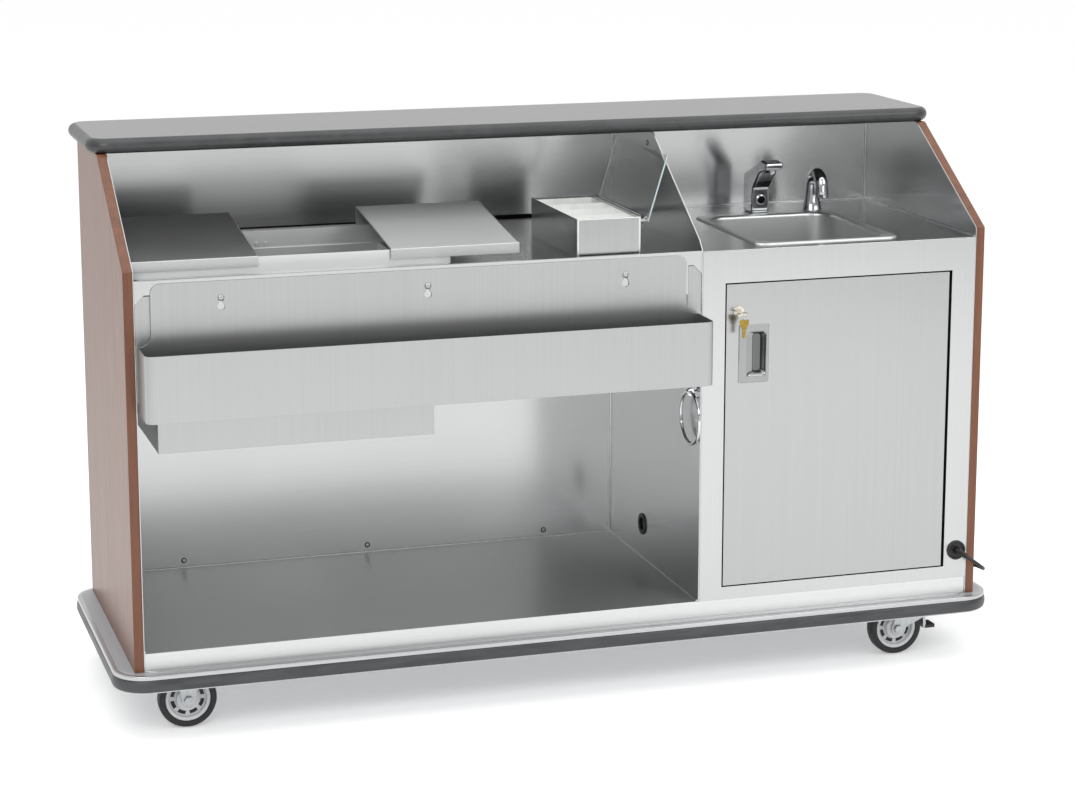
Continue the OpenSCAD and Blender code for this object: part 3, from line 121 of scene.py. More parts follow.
def brushed(name, along, dark, light, rough, lean=0.55):
    """Sheet stainless, belt polished: a metal whose fine parallel scratches smear reflections across the grain, with
    faint long streaks in tone and cloudy wiped patches. Real scratches are about 0.1 mm wide; the streaks are drawn
    3 mm wide so that they show. lean is how much longer reflections get across the grain than along it."""
    made, tree, shader, place = start(name)
    streak = add(tree, "ShaderNodeMapping", {"Vector": place, "Scale": grain_scale(along, STREAK_LENGTH, STREAK_WIDTH)})
    streak = add(tree, "ShaderNodeTexNoise", {"Vector": streak.outputs[0], "Scale": 1.0, "Detail": 2.0})
    cloud = add(tree, "ShaderNodeTexNoise", {"Vector": place, "Scale": 1000 / PATCH_WIDTH, "Detail": 2.0})
    colour = add(tree, "ShaderNodeMix", {0: streak.outputs[0], 6: linear(dark), 7: linear(light)}, data_type="RGBA")
    wiped = add(tree, "ShaderNodeMapRange",
                {"Value": cloud.outputs[0], "To Min": rough - PATCH_SPREAD, "To Max": rough + PATCH_SPREAD})
    grain = add(tree, "ShaderNodeCombineXYZ", {axis: 1.0 if axis == along else 0.02 for axis in "XYZ"})
    tree.links.new(colour.outputs[2], shader.inputs["Base Color"])
    tree.links.new(wiped.outputs[0], shader.inputs["Roughness"])
    tree.links.new(grain.outputs[0], shader.inputs["Tangent"])
    shader.inputs["Metallic"].default_value = 1.0
    shader.inputs["Anisotropic"].default_value = lean
    shader.inputs["Anisotropic Rotation"].default_value = 0.25
    return made


def mottled(name, dark, light, spot, rough, spread=0.04, bump=0.0, metallic=0.0, detail=3.0, stretch=(1, 1, 1),
            **sockets):
    """A surface whose tone and gloss drift in spots of a size given in millimetres: mouldings, rubber, plating.
    spread is how far the roughness drifts and bump the height of the skin in millimetres. stretch draws the spots
    out along an axis; sockets are uniform values on the shader."""
    made, tree, shader, place = start(name)
    laid = add(tree, "ShaderNodeMapping", {"Vector": place, "Scale": [1000 / spot / s for s in stretch]})
    drift = add(tree, "ShaderNodeTexNoise", {"Vector": laid.outputs[0], "Scale": 1.0, "Detail": detail})
    tone = add(tree, "ShaderNodeMapRange", {"Value": drift.outputs[0], "From Min": 0.32, "From Max": 0.68})
    colour = add(tree, "ShaderNodeMix", {0: tone.outputs[0], 6: linear(dark), 7: linear(light)}, data_type="RGBA")
    gloss = add(tree, "ShaderNodeMapRange", {"Value": drift.outputs[0], "From Min": 0.3, "From Max": 0.7,
                                             "To Min": rough - spread, "To Max": rough + spread})
    tree.links.new(colour.outputs[2], shader.inputs["Base Color"])
    tree.links.new(gloss.outputs[0], shader.inputs["Roughness"])
    if bump:
        skin = add(tree, "ShaderNodeBump", {"Height": drift.outputs[0], "Strength": 0.3, "Distance": bump / 1000})
        tree.links.new(skin.outputs[0], shader.inputs["Normal"])
    shader.inputs["Metallic"].default_value = metallic
    for key, value in sockets.items():
        shader.inputs[key.replace("_", " ")].default_value = value
    return made


def cherry_laminate():
    """High pressure laminate printed as cherry: warm red brown with straight upright grain, darker pores
    about 1 mm wide drawn 2 mm wide, and a satin melamine face that goes pale at a glancing look."""
    made, tree, shader, place = start("cherry laminate")
    figure = add(tree, "ShaderNodeMapping", {"Vector": place, "Scale": grain_scale("Z", 700, 22)})
    figure = add(tree, "ShaderNodeTexNoise",
                 {"Vector": figure.outputs[0], "Scale": 1.0, "Detail": 4.0, "Distortion": 0.6})
    pores = add(tree, "ShaderNodeMapping", {"Vector": place, "Scale": grain_scale("Z", 90, 2)})
    pores = add(tree, "ShaderNodeTexNoise", {"Vector": pores.outputs[0], "Scale": 1.0, "Detail": 3.0})
    tone = add(tree, "ShaderNodeMapRange", {"Value": figure.outputs[0], "From Min": 0.3, "From Max": 0.7})
    wood = add(tree, "ShaderNodeMix", {0: tone.outputs[0], 6: linear("#633923"), 7: linear("#794B30")},
               data_type="RGBA")
    line = add(tree, "ShaderNodeMapRange",
               {"Value": pores.outputs[0], "From Min": 0.52, "From Max": 0.75, "To Max": 0.55})
    wood = add(tree, "ShaderNodeMix", {0: line.outputs[0], 6: wood.outputs[2], 7: linear("#482414")}, data_type="RGBA")
    gloss = add(tree, "ShaderNodeMapRange", {"Value": pores.outputs[0], "From Min": 0.3, "From Max": 0.7,
                                             "To Min": 0.3, "To Max": 0.38})
    tree.links.new(wood.outputs[2], shader.inputs["Base Color"])
    tree.links.new(gloss.outputs[0], shader.inputs["Roughness"])
    return made


FINISH = {
    # Belt polished stainless sheet: silver, with reflections drawn out across its grain
    "steel_long": brushed("brushed stainless, grain along the bar", "X", "#B7B8B8", "#C0C1C1", 0.21),
    "steel_up": brushed("brushed stainless, upright grain", "Z", "#B7B8B8", "#C0C1C1", 0.21),
    # Face frame's sheet: the same look, kept just below white where the light falls on it
    "steel_frame": brushed("brushed stainless, fine upright grain", "Z", "#B6B7B7", "#BFC0C0", 0.21),
    # Door's sheet: a shade darker, so that the door stands out from its frame
    "steel_door": brushed("brushed stainless door sheet", "Z", "#A5A6A6", "#ADAEAE", 0.21),
    # Back sheet: longer smears, so that light fades to dark in one sweep down the splash
    "steel_back": brushed("brushed stainless back sheet", "X", "#B7B8B8", "#C0C1C1", 0.2, 0.65),
    # Left lid's sheet, grain front to back: dull, with a soft even sheen
    "steel_deep": brushed("brushed stainless, grain front to back", "Y", "#B7B8B8", "#C0C1C1", 0.38, 0.4),
    # Right lid's and sill strip's sheet, off a coarse belt: a broad glare without mirror images
    "steel_wide": brushed("brushed stainless, coarse belt", "X", "#B9BABA", "#C4C5C5", 0.44, 0.7),
    # Satin sheet of the bottle rail and the casing: an even grey without mirror images
    "steel_satin": brushed("satin stainless", "Z", "#A8A9A9", "#B2B3B3", 0.36, 0.3),
    # Storage floor: rough, with a long glare along the bar, and painted paler than the other sheets as painted light
    # inside the shaded cabinet
    "steel_floor": brushed("brushed stainless, paled as painted light", "X", "#D2D3D3", "#DADBDB", 0.33, 0.75),
    # Matt sheet of the ice well and its lid rail, with hardly any grain: painted paler than the other sheets, as
    # painted light for the well in the lids' shade
    "steel_bin": brushed("matt stainless, paled as painted light", "X", "#D2D3D3", "#DADBDB", 0.5, 0.1),
    # Deep drawn sink bowl: pale satin, with little grain left after the drawing
    "steel_bowl": brushed("drawn stainless, satin", "X", "#C4C5C5", "#CDCECE", 0.38, 0.2),
    # Stamped plate of the pull: a mid grey against the door
    "pull_steel": brushed("stamped stainless", "Z", "#909192", "#9C9D9D", 0.22),
    # Deep drawn pocket of the pull: painted darker than the plate, as painted shade inside the recess
    "pocket": brushed("drawn stainless, darkened as painted shade", "Z", "#5E5F60", "#6A6B6B", 0.22),
    # Polished weld beads: brighter and smoother than the sheets they join
    "seam": mottled("polished weld", "#D6D7D7", "#E2E3E3", 20, 0.32, spread=0.03, metallic=1.0),
    # Aluminium deck plate, oxidised: a chalky pale grey that mirrors nothing
    "deck_plate": mottled("oxidised aluminium plate", "#B2B5B9", "#BFC2C5", 8, 0.58, spread=0.05, metallic=0.5),
    # Extruded aluminium, satin anodised: pale and even, with die lines along the run
    "aluminium": mottled("anodised aluminium channel", "#B4B5B6", "#C4C5C6", 2.0, 0.36, metallic=1.0,
                         stretch=(200, 200, 1)),
    "cherry": cherry_laminate(),
    # Graphite laminate: a dark grey with fine paler flecks and a satin face that mirrors the sky at a low angle
    "graphite": mottled("graphite laminate", "#3E3F41", "#505153", 3.0, 0.24, spread=0.02, detail=5.0),
    # Vinyl edge moulding: soft grey black with a broad sheen on its round
    "edging": mottled("vinyl edge moulding", "#333435", "#3F4041", 40, 0.36, bump=0.05),
    # Vinyl bumper: like the edging but duller, with paler scuffs drawn out along the run
    "bumper": mottled("vinyl bumper", "#343536", "#47484A", 30, 0.42, spread=0.08, bump=0.08, stretch=(3, 3, 0.5)),
    # Chrome plate on brass: near mirror, with faint water marks that dull it in spots
    "chrome": mottled("chrome plate", "#CDD0D3", "#D8DADC", 18, 0.07, spread=0.03, metallic=1.0),
    # Zinc plated steel: pale, slightly blue, with cloudy spangle
    "zinc": mottled("zinc plated steel", "#A4A8AA", "#BBBEC0", 6, 0.37, spread=0.06, metallic=1.0),
    # Brass key, nickel worn off: yellow with a dull bloom
    "brass": mottled("brass", "#8C7838", "#A8924A", 5, 0.36, spread=0.06, metallic=1.0),
    # Nickel plate on the lock and its key: warm silver with a soft shine
    "nickel": mottled("nickel plate", "#C4BFB2", "#D6D2C6", 5, 0.16, spread=0.04, metallic=1.0),
    # Rubber tyres: near black, dusty where they roll
    "tyre": mottled("rubber tyre", "#181819", "#232324", 9, 0.55, spread=0.08, bump=0.1),
    # Polypropylene hub: pale grey moulding with a fine sparked skin, painted a little paler still as painted light
    # where it sits in the shade under the deck
    "hub": mottled("polypropylene hub", "#D6D8D9", "#E0E2E3", 4, 0.4, bump=0.04),
    # Moulded black rubber of grommets, washers and pads: even black with a low sheen
    "black_rubber": mottled("black rubber", "#161617", "#202021", 5, 0.42, bump=0.04),
    # Black filler for gaps: painted shade that swallows light, so that a gap reads as a black line
    "gap_shade_black": mottled("black gap filler, painted shade", "#050506", "#0B0B0C", 3, 0.9, bump=0.2, Specular_IOR_Level=0.1),
    # Black acrylic over the faucet's eye: deep black with one sharp highlight
    "black_gloss": mottled("black acrylic window", "#070708", "#0C0C0E", 6, 0.08, spread=0.02),
    # White ABS insert: clean white, a little uneven from the mould
    "white": mottled("white ABS", "#E4E5E3", "#EEEFED", 30, 0.34, bump=0.03),
    # Natural polyethylene tank: milky, waxy, light passes a little way in
    "milky": mottled("natural polyethylene", "#D5D7D0", "#E2E3DD", 35, 0.4, bump=0.12, Subsurface_Weight=0.25),
    # Grey polyethylene tank: waxy and even, with a slow ripple from the mould
    "grey_poly": mottled("grey polyethylene", "#7F8385", "#8C9092", 35, 0.42, bump=0.12),
    # Blue polypropylene caps: strong colour with a soft sheen
    "blue_poly": mottled("blue polypropylene", "#254A80", "#2E5690", 12, 0.38, bump=0.05),
    # Enamel on the pump: black, half gloss, with a slight orange peel
    "pump_paint": mottled("black enamel", "#202123", "#2B2C2E", 8, 0.3, bump=0.04),
    # PVC hose: cloudy pale grey that light passes into
    "hose": mottled("clear PVC hose", "#B9BFC2", "#CBD0D2", 12, 0.2, Subsurface_Weight=0.3),
    # Clear cast acrylic: glass like, very slightly warm
    "acrylic": mottled("clear acrylic", "#F4F7F6", "#FAFCFB", 60, 0.03, spread=0.015, Transmission_Weight=1.0,
                       IOR=1.49),
    # Flame polished edge of the acrylic: light gathers in it, so it looks milky
    "acrylic_edge": mottled("polished acrylic edge", "#DCE2E1", "#EAEEED", 30, 0.16, Subsurface_Weight=0.3),
    # Black PVC cable sheath: satin black, faintly ribbed by the cores under it
    "sheath": mottled("PVC cable sheath", "#171718", "#232324", 6, 0.46, bump=0.05),
}


# Pieces
def piece(bm, name, body, finish, nodes=(), sharp=35, wall=0.0):
    """Make a named piece from a shape drawn in gauge millimetres and let it ride on a body.
    wall gives an open sheet its thickness."""
    bmesh.ops.remove_doubles(bm, verts=bm.verts, dist=0.001)
    bmesh.ops.recalc_face_normals(bm, faces=bm.faces)
    if wall:
        bmesh.ops.solidify(bm, geom=bm.faces, thickness=wall)
    bmesh.ops.transform(bm, matrix=GAUGE, verts=bm.verts)
    mesh = bpy.data.meshes.new(name)
    bm.to_mesh(mesh)
    bm.free()
    mesh.shade_smooth()
    mesh.set_sharp_from_angle(angle=math.radians(sharp))
    mesh.materials.append(FINISH[finish])
    made = bpy.data.objects.new(name, mesh)
    SCENE.collection.objects.link(made)
    made.modifiers.new("flat faces stay flat", "WEIGHTED_NORMAL").keep_sharp = True
    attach(made, body)
    if nodes:
        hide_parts(*nodes)
    return made


def verts_of(grown):
    """The vertices among what an operator made."""
    return [g for g in grown if isinstance(g, bmesh.types.BMVert)]


def lathe(bm, outline, centre, axis, steps=48):
    """Turn an outline of (radius, distance along the axis) points about an axis through centre."""
    axis = Vector(axis).normalized()
    side = axis.orthogonal().normalized()
    verts = [bm.verts.new(Vector(centre) + side * r + axis * d) for r, d in outline]
    edges = [bm.edges.new(pair) for pair in zip(verts, verts[1:])]
    bmesh.ops.spin(bm, geom=verts + edges, cent=centre, axis=axis, angle=math.tau, steps=steps, use_merge=True)


def ease_edges(bm, verts, width, segments):
    """Round every edge between some vertices."""
    bmesh.ops.bevel(bm, geom=list({e for v in verts for e in v.link_edges}), offset=width, offset_type="OFFSET",
                    segments=segments, profile=0.5, affect="EDGES", material=-1)


def block(bm, x, y, z, ease=0.0, segments=3):
    """A box between two values on each axis, with rounded edges."""
    spans = [Vector(span) for span in (x, y, z)]
    size = Matrix.Diagonal([span[1] - span[0] for span in spans] + [1])
    middle = Matrix.Translation([(span[0] + span[1]) / 2 for span in spans])
    made = bmesh.ops.create_cube(bm, size=1, matrix=middle @ size)["verts"]
    if ease:
        ease_edges(bm, made, ease, segments)


def prism(bm, outline, axis, low, high, ease=0.0, segments=3):
    """Push an outline, given in the other two axes, along an axis from low to high."""
    spot = {"x": lambda a, b: (low, a, b), "y": lambda a, b: (a, low, b), "z": lambda a, b: (a, b, low)}[axis]
    base = [bm.verts.new(spot(a, b)) for a, b in outline]
    grown = verts_of(bmesh.ops.extrude_face_region(bm, geom=[bm.faces.new(base)])["geom"])
    bmesh.ops.translate(bm, vec=[high - low if axis == c else 0 for c in "xyz"], verts=grown)
    if ease:
        ease_edges(bm, base + grown, ease, segments)


def sweep(bm, path, radii, sides):
    """Draw a round bar along points: a disc's edge is extruded from point to point, turned and scaled on the way."""
    path = [Vector(p) for p in path]
    heading = (path[1] - path[0]).normalized()
    place = Matrix.Translation(path[0]) @ heading.to_track_quat("Z", "Y").to_matrix().to_4x4()
    ring = bmesh.ops.create_circle(bm, cap_ends=True, segments=sides, radius=radii[0], matrix=place)["verts"]
    edges = list({e for v in ring for e in v.link_edges})
    for i in range(1, len(path)):
        after = (path[min(i + 1, len(path) - 1)] - path[i - 1]).normalized()
        grown = bmesh.ops.extrude_edge_only(bm, edges=edges)["geom"]
        ring = verts_of(grown)
        edges = [g for g in grown if isinstance(g, bmesh.types.BMEdge) and all(v in ring for v in g.verts)]
        turn = heading.rotation_difference(after).to_matrix().to_4x4()
        scale = Matrix.Scale(radii[i] / radii[i - 1], 4)
        step = Matrix.Translation(path[i]) @ turn @ scale @ Matrix.Translation(-path[i - 1])
        bmesh.ops.transform(bm, matrix=step, verts=ring)
        heading = after
    bmesh.ops.contextual_create(bm, geom=edges)


def bead(bm, a, b, radius, sides=12):
    """A straight round bead between two points."""
    sweep(bm, [a, b], [radius, radius], sides=sides)


def round_loop(bm, x, y, r, z, segments=8):
    """A closed loop of edges: a rectangle with round corners at height z."""
    before = set(bm.verts)
    corners = [bm.verts.new((a, b, z)) for a, b in ((x[0], y[0]), (x[1], y[0]), (x[1], y[1]), (x[0], y[1]))]
    bm.faces.new(corners)
    bmesh.ops.bevel(bm, geom=corners, offset=r, offset_type="OFFSET", segments=segments, profile=0.5, affect="VERTICES",
                    material=-1)
    made = [v for v in bm.verts if v not in before]
    bmesh.ops.delete(bm, geom=list({f for v in made for f in v.link_faces}), context="FACES_ONLY")
    return list({e for v in made for e in v.link_edges})


def bridge(bm, loops):
    """Join closed loops in turn."""
    for a, b in zip(loops, loops[1:]):
        bmesh.ops.bridge_loops(bm, edges=a + b)


def eased(node, finish, width):
    """Stand a copy of a solid with rounded arrises in its place, so that its edges catch the light."""
    bm = bmesh.new()
    bm.from_mesh(NODES[node].data)
    bmesh.ops.transform(bm, matrix=GAUGE.inverted(), verts=bm.verts)
    bmesh.ops.remove_doubles(bm, verts=bm.verts, dist=0.01)
    bmesh.ops.dissolve_limit(bm, angle_limit=math.radians(1), verts=bm.verts, edges=bm.edges)
    arris = [e for e in bm.edges if len(e.link_faces) == 2 and e.calc_face_angle() > math.radians(30)]
    bmesh.ops.bevel(bm, geom=arris, offset=width, offset_type="OFFSET", segments=2, profile=0.5, affect="EDGES",
                    clamp_overlap=True, material=-1)
    piece(bm, "dressed_" + node, NODES[node]["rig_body"], finish, [node])


# Mains cord: the run, its coil behind the base, a strain relief, a tie and the plug
CORD_D = 8.0
CORD_START = (1862, -12, 255)
CORD_RUN = [(1862, -22, 255), (1870, -46, 249), (1889, -56, 235), (1908, -46, 221), (1916, -22, 215), (1918, 10, 211),
            (1919, 70, 198), (1920, 150, 178), (1921, 240, 162), (1922, 330, 157), (1922, 430, 157), (1922, 530, 157),
            (1920, 590, 159), (1915, 626, 161), (1906, 654, 150), (1897, 671, 120), (1888, 682, 84), (1876, 690, 50),
            (1856, 698, 22), (1822, 702, 8), (1780, 700, 5), (1730, 690, 5), (1680, 674, 5), (1648, 660, 5),
            (1614, 658, 5)]
COIL_X, COIL_Y, COIL_R, COIL_TURNS, COIL_PITCH, TURN_STEPS = 1592, 608, 50, 4, 9, 24
COIL_IN, COIL_OUT = (1600, 658, 5), (1544, 658, 14)
# Shares of the coil's length where it starts to climb and over which it does
CLIMB_FROM, CLIMB_OVER = 0.4375, 0.125


def coil_points():
    """The coil spirals in on the floor, climbs at its middle and spirals out on top of itself."""
    points = []
    for i in range(TURN_STEPS * COIL_TURNS + 1):
        s = i / (TURN_STEPS * COIL_TURNS)
        a = math.radians(90 + 360 * COIL_TURNS * s)
        r = COIL_R - COIL_PITCH * min(s, 1 - s) * COIL_TURNS
        z = COIL_IN[2] + COIL_PITCH * max(0, min(1, (s - CLIMB_FROM) / CLIMB_OVER))
        points.append((COIL_X + r * math.cos(a), COIL_Y + r * math.sin(a), z))
    return points


def mains_cord():
    path = [at(*p) for p in [CORD_START, *CORD_RUN, COIL_IN, *coil_points(), COIL_OUT]]
    line = bpy.data.curves.new("mains_cord", "CURVE")
    line.dimensions = "3D"
    line.bevel_depth = CORD_D / 2000
    line.bevel_resolution = 5
    line.use_fill_caps = True
    line.resolution_u = 6
    spline = line.splines.new("BEZIER")
    spline.bezier_points.add(len(path) - 1)
    for i, point in enumerate(spline.bezier_points):
        before, after = path[max(i - 1, 0)], path[min(i + 1, len(path) - 1)]
        point.co = path[i]
        point.handle_left = path[i] - (after - before).normalized() * (path[i] - before).length / 3
        point.handle_right = path[i] + (after - before).normalized() * (after - path[i]).length / 3
    line.materials.append(FINISH["sheath"])
    cord = bpy.data.objects.new("mains_cord", line)
    SCENE.collection.objects.link(cord)
    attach(cord, "base")
    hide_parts("cord_run", "cord_coil")

    # Strain relief: a taper moulded on the cord
    bm = bmesh.new()
    boot = [(1862, -5, 255), (1862, -12, 255), (1862.2, -18, 255), (1863.4, -26, 254.2), (1865.4, -34, 252.6),
            (1868.4, -42, 250.2)]
    sweep(bm, boot, [8.5, 8.5, 7.6, 6.8, 6.0, 5.2], sides=24)
    relief = piece(bm, "strain_relief", "base", "black_rubber")

    # Hook and loop tie round the turns, drawn lying down and then stood up
    bm = bmesh.new()
    loop = round_loop(bm, (1536.5, 1566.5), (0.4, 19), 7, 601)
    grown = bmesh.ops.extrude_edge_only(bm, edges=loop)["geom"]
    bmesh.ops.translate(bm, vec=(0, 0, 14), verts=verts_of(grown))
    stood = Matrix(((1, 0, 0, 0), (0, 0, 1, 0), (0, 1, 0, 0), (0, 0, 0, 1)))
    bmesh.ops.transform(bm, matrix=stood, verts=bm.verts)
    tie = piece(bm, "cord_tie", "base", "black_rubber", wall=1.0)

    # Moulded plug with two flat pins and a round earth pin
    bm = bmesh.new()
    body = [(0, 0), (5.4, 0), (5.4, 3), (6.4, 4), (6.4, 7), (5.6, 8), (5.6, 10), (6.5, 11), (6.5, 15), (7.4, 18),
            (11.4, 21), (12.6, 25), (13, 34), (13, 49), (12.2, 51.4), (10.5, 52), (0, 52)]
    lathe(bm, body, COIL_OUT, (-1, 0, 0), steps=40)
    plug = piece(bm, "moulded_plug", "base", "sheath", ["cord_plug"])
    bm = bmesh.new()
    for y in (651.65, 664.35):
        block(bm, (1474, 1492.4), (y - 0.8, y + 0.8), (11, 17), ease=0.5, segments=2)
    earth = [(0, 51.6), (2.4, 51.6), (2.4, 67.5), (1.4, 69.8), (0, 70)]
    lathe(bm, earth, (1544, 658, 20.35), (-1, 0, 0), steps=20)
    pins = piece(bm, "plug_pins", "base", "zinc")


set_camera()
mains_cord()


# Sink and its fittings
SINK_X, SINK_Y = (1383, 1723), (40, 435)
DRAIN_X, DRAIN_Y = 1553, 237.5
FAUCET_X, SOAP_X = 1556, 1690


def sink():
    bm = bmesh.new()
    rings = [  # inset from the rim, corner radius, height
        (0, 24, 971), (0.6, 24, 973), (2.4, 23, 974.4), (5, 22, 974.6), (15, 34, 973.8), (18.5, 42, 973),
        (21, 44, 970.5), (22, 45, 966), (23.5, 45, 905), (25, 44, 850), (26.5, 43, 840), (30.5, 40, 831),
        (37, 36, 825), (46, 32, 822.4), (60, 28, 821.8)]
    loops = [round_loop(bm, (SINK_X[0] + i, SINK_X[1] - i), (SINK_Y[0] + i, SINK_Y[1] - i), r, z) for i, r, z in rings]
    outlet = Matrix.Translation((DRAIN_X, DRAIN_Y, 821))
    well = bmesh.ops.create_circle(bm, cap_ends=False, segments=36, radius=42, matrix=outlet)["verts"]
    loops.append(list({e for v in well for e in v.link_edges}))
    bridge(bm, loops)
    piece(bm, "sink_bowl_pressed", "base", "steel_bowl", ["sink_bowl"], wall=1.2)

    bm = bmesh.new()
    cup = [(24, 741), (24, 812), (42, 815), (42, 822), (40, 823.4), (33, 823), (28, 820), (26, 816), (25, 808),
           (0, 806)]
    knob = [(0, 826), (5, 825.6), (7, 822), (4, 818), (4, 806)]
    lathe(bm, cup, (DRAIN_X, DRAIN_Y, 0), (0, 0, 1))
    lathe(bm, knob, (DRAIN_X, DRAIN_Y, 0), (0, 0, 1), steps=24)
    piece(bm, "sink_strainer", "base", "chrome", ["sink_drain"])


def faucet():
    bm = bmesh.new()
    side = [(505, 971), (505, 1060), (404, 1104), (364, 1100), (368, 1084), (404, 1075), (446, 1031), (450, 971)]
    prism(bm, side, "x", FAUCET_X - 22, FAUCET_X + 22, ease=6, segments=4)
    # Aerator under the spout and a bezel round the sensor's window
    aerator = [(0, 6), (6, 6), (6.6, 8), (8.6, 7.4), (9.4, 5.6), (9.4, -1)]
    lathe(bm, aerator, (FAUCET_X, 383, 1080.2), (0, -0.243, -0.97), steps=32)
    bezel = [(8.5, 0), (8.5, 3.2), (9.4, 4.2), (10.8, 4), (11.8, 2.8), (12, 0)]
    lathe(bm, bezel, (FAUCET_X, 448.4, 1004), (0, -1, 0), steps=40)
    piece(bm, "faucet_body", "base", "chrome", ["faucet"], sharp=50)


def soap():
    bm = bmesh.new()
    arch = [(432 + 28 * math.cos(math.radians(a)), 1033 + 28 * math.sin(math.radians(a))) for a in range(0, 181, 15)]
    path = [(460, 971), (460, 974), (460, 977), (460, 984), (460, 996), (460, 1014), *arch,
            (404, 1026), (404, 1018), (404, 1011)]
    radii = [24, 24, 23, 20.5, 18, 16, *[14.5] * len(arch), 15, 16, 15]
    sweep(bm, [(SOAP_X, y, z) for y, z in path], radii, sides=32)
    lathe(bm, [(0, 0), (3, 0), (3, 8)], (SOAP_X, 404, 1005), (0, 0, 1), steps=16)
    piece(bm, "soap_spout_arch", "base", "chrome", ["soap_spout"])


sink()
faucet()
soap()


# Casters: tyres, slotted hubs and thread guards
AXLE_Z, WEB_T = 62.5, 8
# Arc slots in a hub's web: how many, their inner and outer radius, and the degrees where each starts and ends
ARCS, ARC_INNER, ARC_OUTER, ARC_FROM, ARC_TO = 8, 28.5, 36.5, 7, 38


def wheel(name, body, x, y):
    centre, axle = (x, y, AXLE_Z), (0, 1, 0)
    bm = bmesh.new()
    tread = [(47.5, -13), (49, -15.4), (52, -16), (57, -15.6), (60.6, -13.4), (62.1, -9), (62.5, 0)]
    tread = tread + [(r, -d) for r, d in reversed(tread[:-1])] + tread[:1]
    lathe(bm, tread, centre, axle, steps=72)
    lathe(bm, [(26, -1.5), (39.8, -1.5), (39.8, 1.5), (26, 1.5), (26, -1.5)], centre, axle, steps=48)
    piece(bm, name + "_tyre", body, "tyre", [name])

    bm = bmesh.new()
    rim = [(47.5, -12.8), (44, -13.4), (41, -12.6), (39.6, -10), (39.6, 10), (41, 12.6), (44, 13.4), (47.5, 12.8)]
    lathe(bm, rim, centre, axle, steps=72)
    guard = [(0, 17.6), (8, 17.6), (20, 16.6), (24, 14.6), (25, 10), (25, 4)]
    for side in (-1, 1):
        lathe(bm, [(r, d * side) for r, d in guard], centre, axle, steps=48)
    # The web is a ring of faces; groups of them are taken out as slots before it gets its thickness
    web = bmesh.new()
    near = Vector((x, y - WEB_T / 2, AXLE_Z))
    spokes = [web.verts.new(near + Vector((r, 0, 0))) for r in (14, ARC_INNER, ARC_OUTER, 40.5)]
    lines = [web.edges.new(pair) for pair in zip(spokes, spokes[1:])]
    bmesh.ops.spin(web, geom=spokes + lines, cent=centre, axis=axle, angle=math.tau, steps=96, use_merge=True)
    gone = []
    for face in web.faces:
        out = face.calc_center_median() - near
        turn = math.degrees(math.atan2(out.z, out.x)) % (360 / ARCS)
        if ARC_INNER < out.length < ARC_OUTER and ARC_FROM < turn < ARC_TO:
            gone.append(face)
    bmesh.ops.delete(web, geom=gone, context="FACES")
    bmesh.ops.recalc_face_normals(web, faces=web.faces)
    thick = bmesh.ops.extrude_face_region(web, geom=web.faces[:])["geom"]
    bmesh.ops.translate(web, vec=(0, WEB_T, 0), verts=verts_of(thick))
    scratch = bpy.data.meshes.new("web")
    web.to_mesh(scratch)
    web.free()
    bm.from_mesh(scratch)
    bpy.data.meshes.remove(scratch)
    piece(bm, name + "_hub", body, "hub")


for spot, body, x, y in (("left_front_wheel", "left_front", 120, 78), ("left_rear_wheel", "left_rear", 120, 536),
                         ("right_front_wheel", "right_front", 1750, 78), ("right_rear_wheel", "right_rear", 1750, 536)):
    wheel(spot, body, x, y)


# Screws, studs and grommets
def fasteners():
    dome = [(0, 3.4), (2.6, 3.3), (4.8, 2.8), (6.4, 1.7), (7, 0.4), (7, 0), (4, 0), (4, -2.8)]
    head = [(0, 3), (2.4, 2.8), (3.8, 2.1), (4.5, 0.8), (4.5, 0)]
    washer = [(0, 0), (6.4, 0), (6.4, 0.6), (5.8, 1), (0, 1)]
    screws = [((x, 596, 208), (0, -1, 0)) for x in (208, 640, 1072)] + [((1240, 353, 1162), (-1, 0, 0))]
    bm = bmesh.new()
    for x in (198, 632, 1066):
        lathe(bm, dome, (x, -2.8, 931), (0, -1, 0), steps=32)
    for place, axis in screws:
        lathe(bm, head, place, axis, steps=28)
    piece(bm, "studs_and_screw_heads", "base", "zinc", ["studs_and_screws"])
    bm = bmesh.new()
    for place, axis in screws:
        lathe(bm, washer, place, axis, steps=28)
    piece(bm, "screw_washers", "base", "black_rubber")

    bm = bmesh.new()
    grommet = [(0, -2.6), (16.4, -2.6), (17.4, -4.6), (19, -5.4), (20.8, -5), (22, -3.4), (22, 0), (17, 0), (17, 2),
               (22, 2), (22, 7), (0, 7)]
    lathe(bm, grommet, (1862, 0, 255), (0, 1, 0))
    piece(bm, "cord_grommet", "base", "black_rubber", ["power_grommet"])


fasteners()


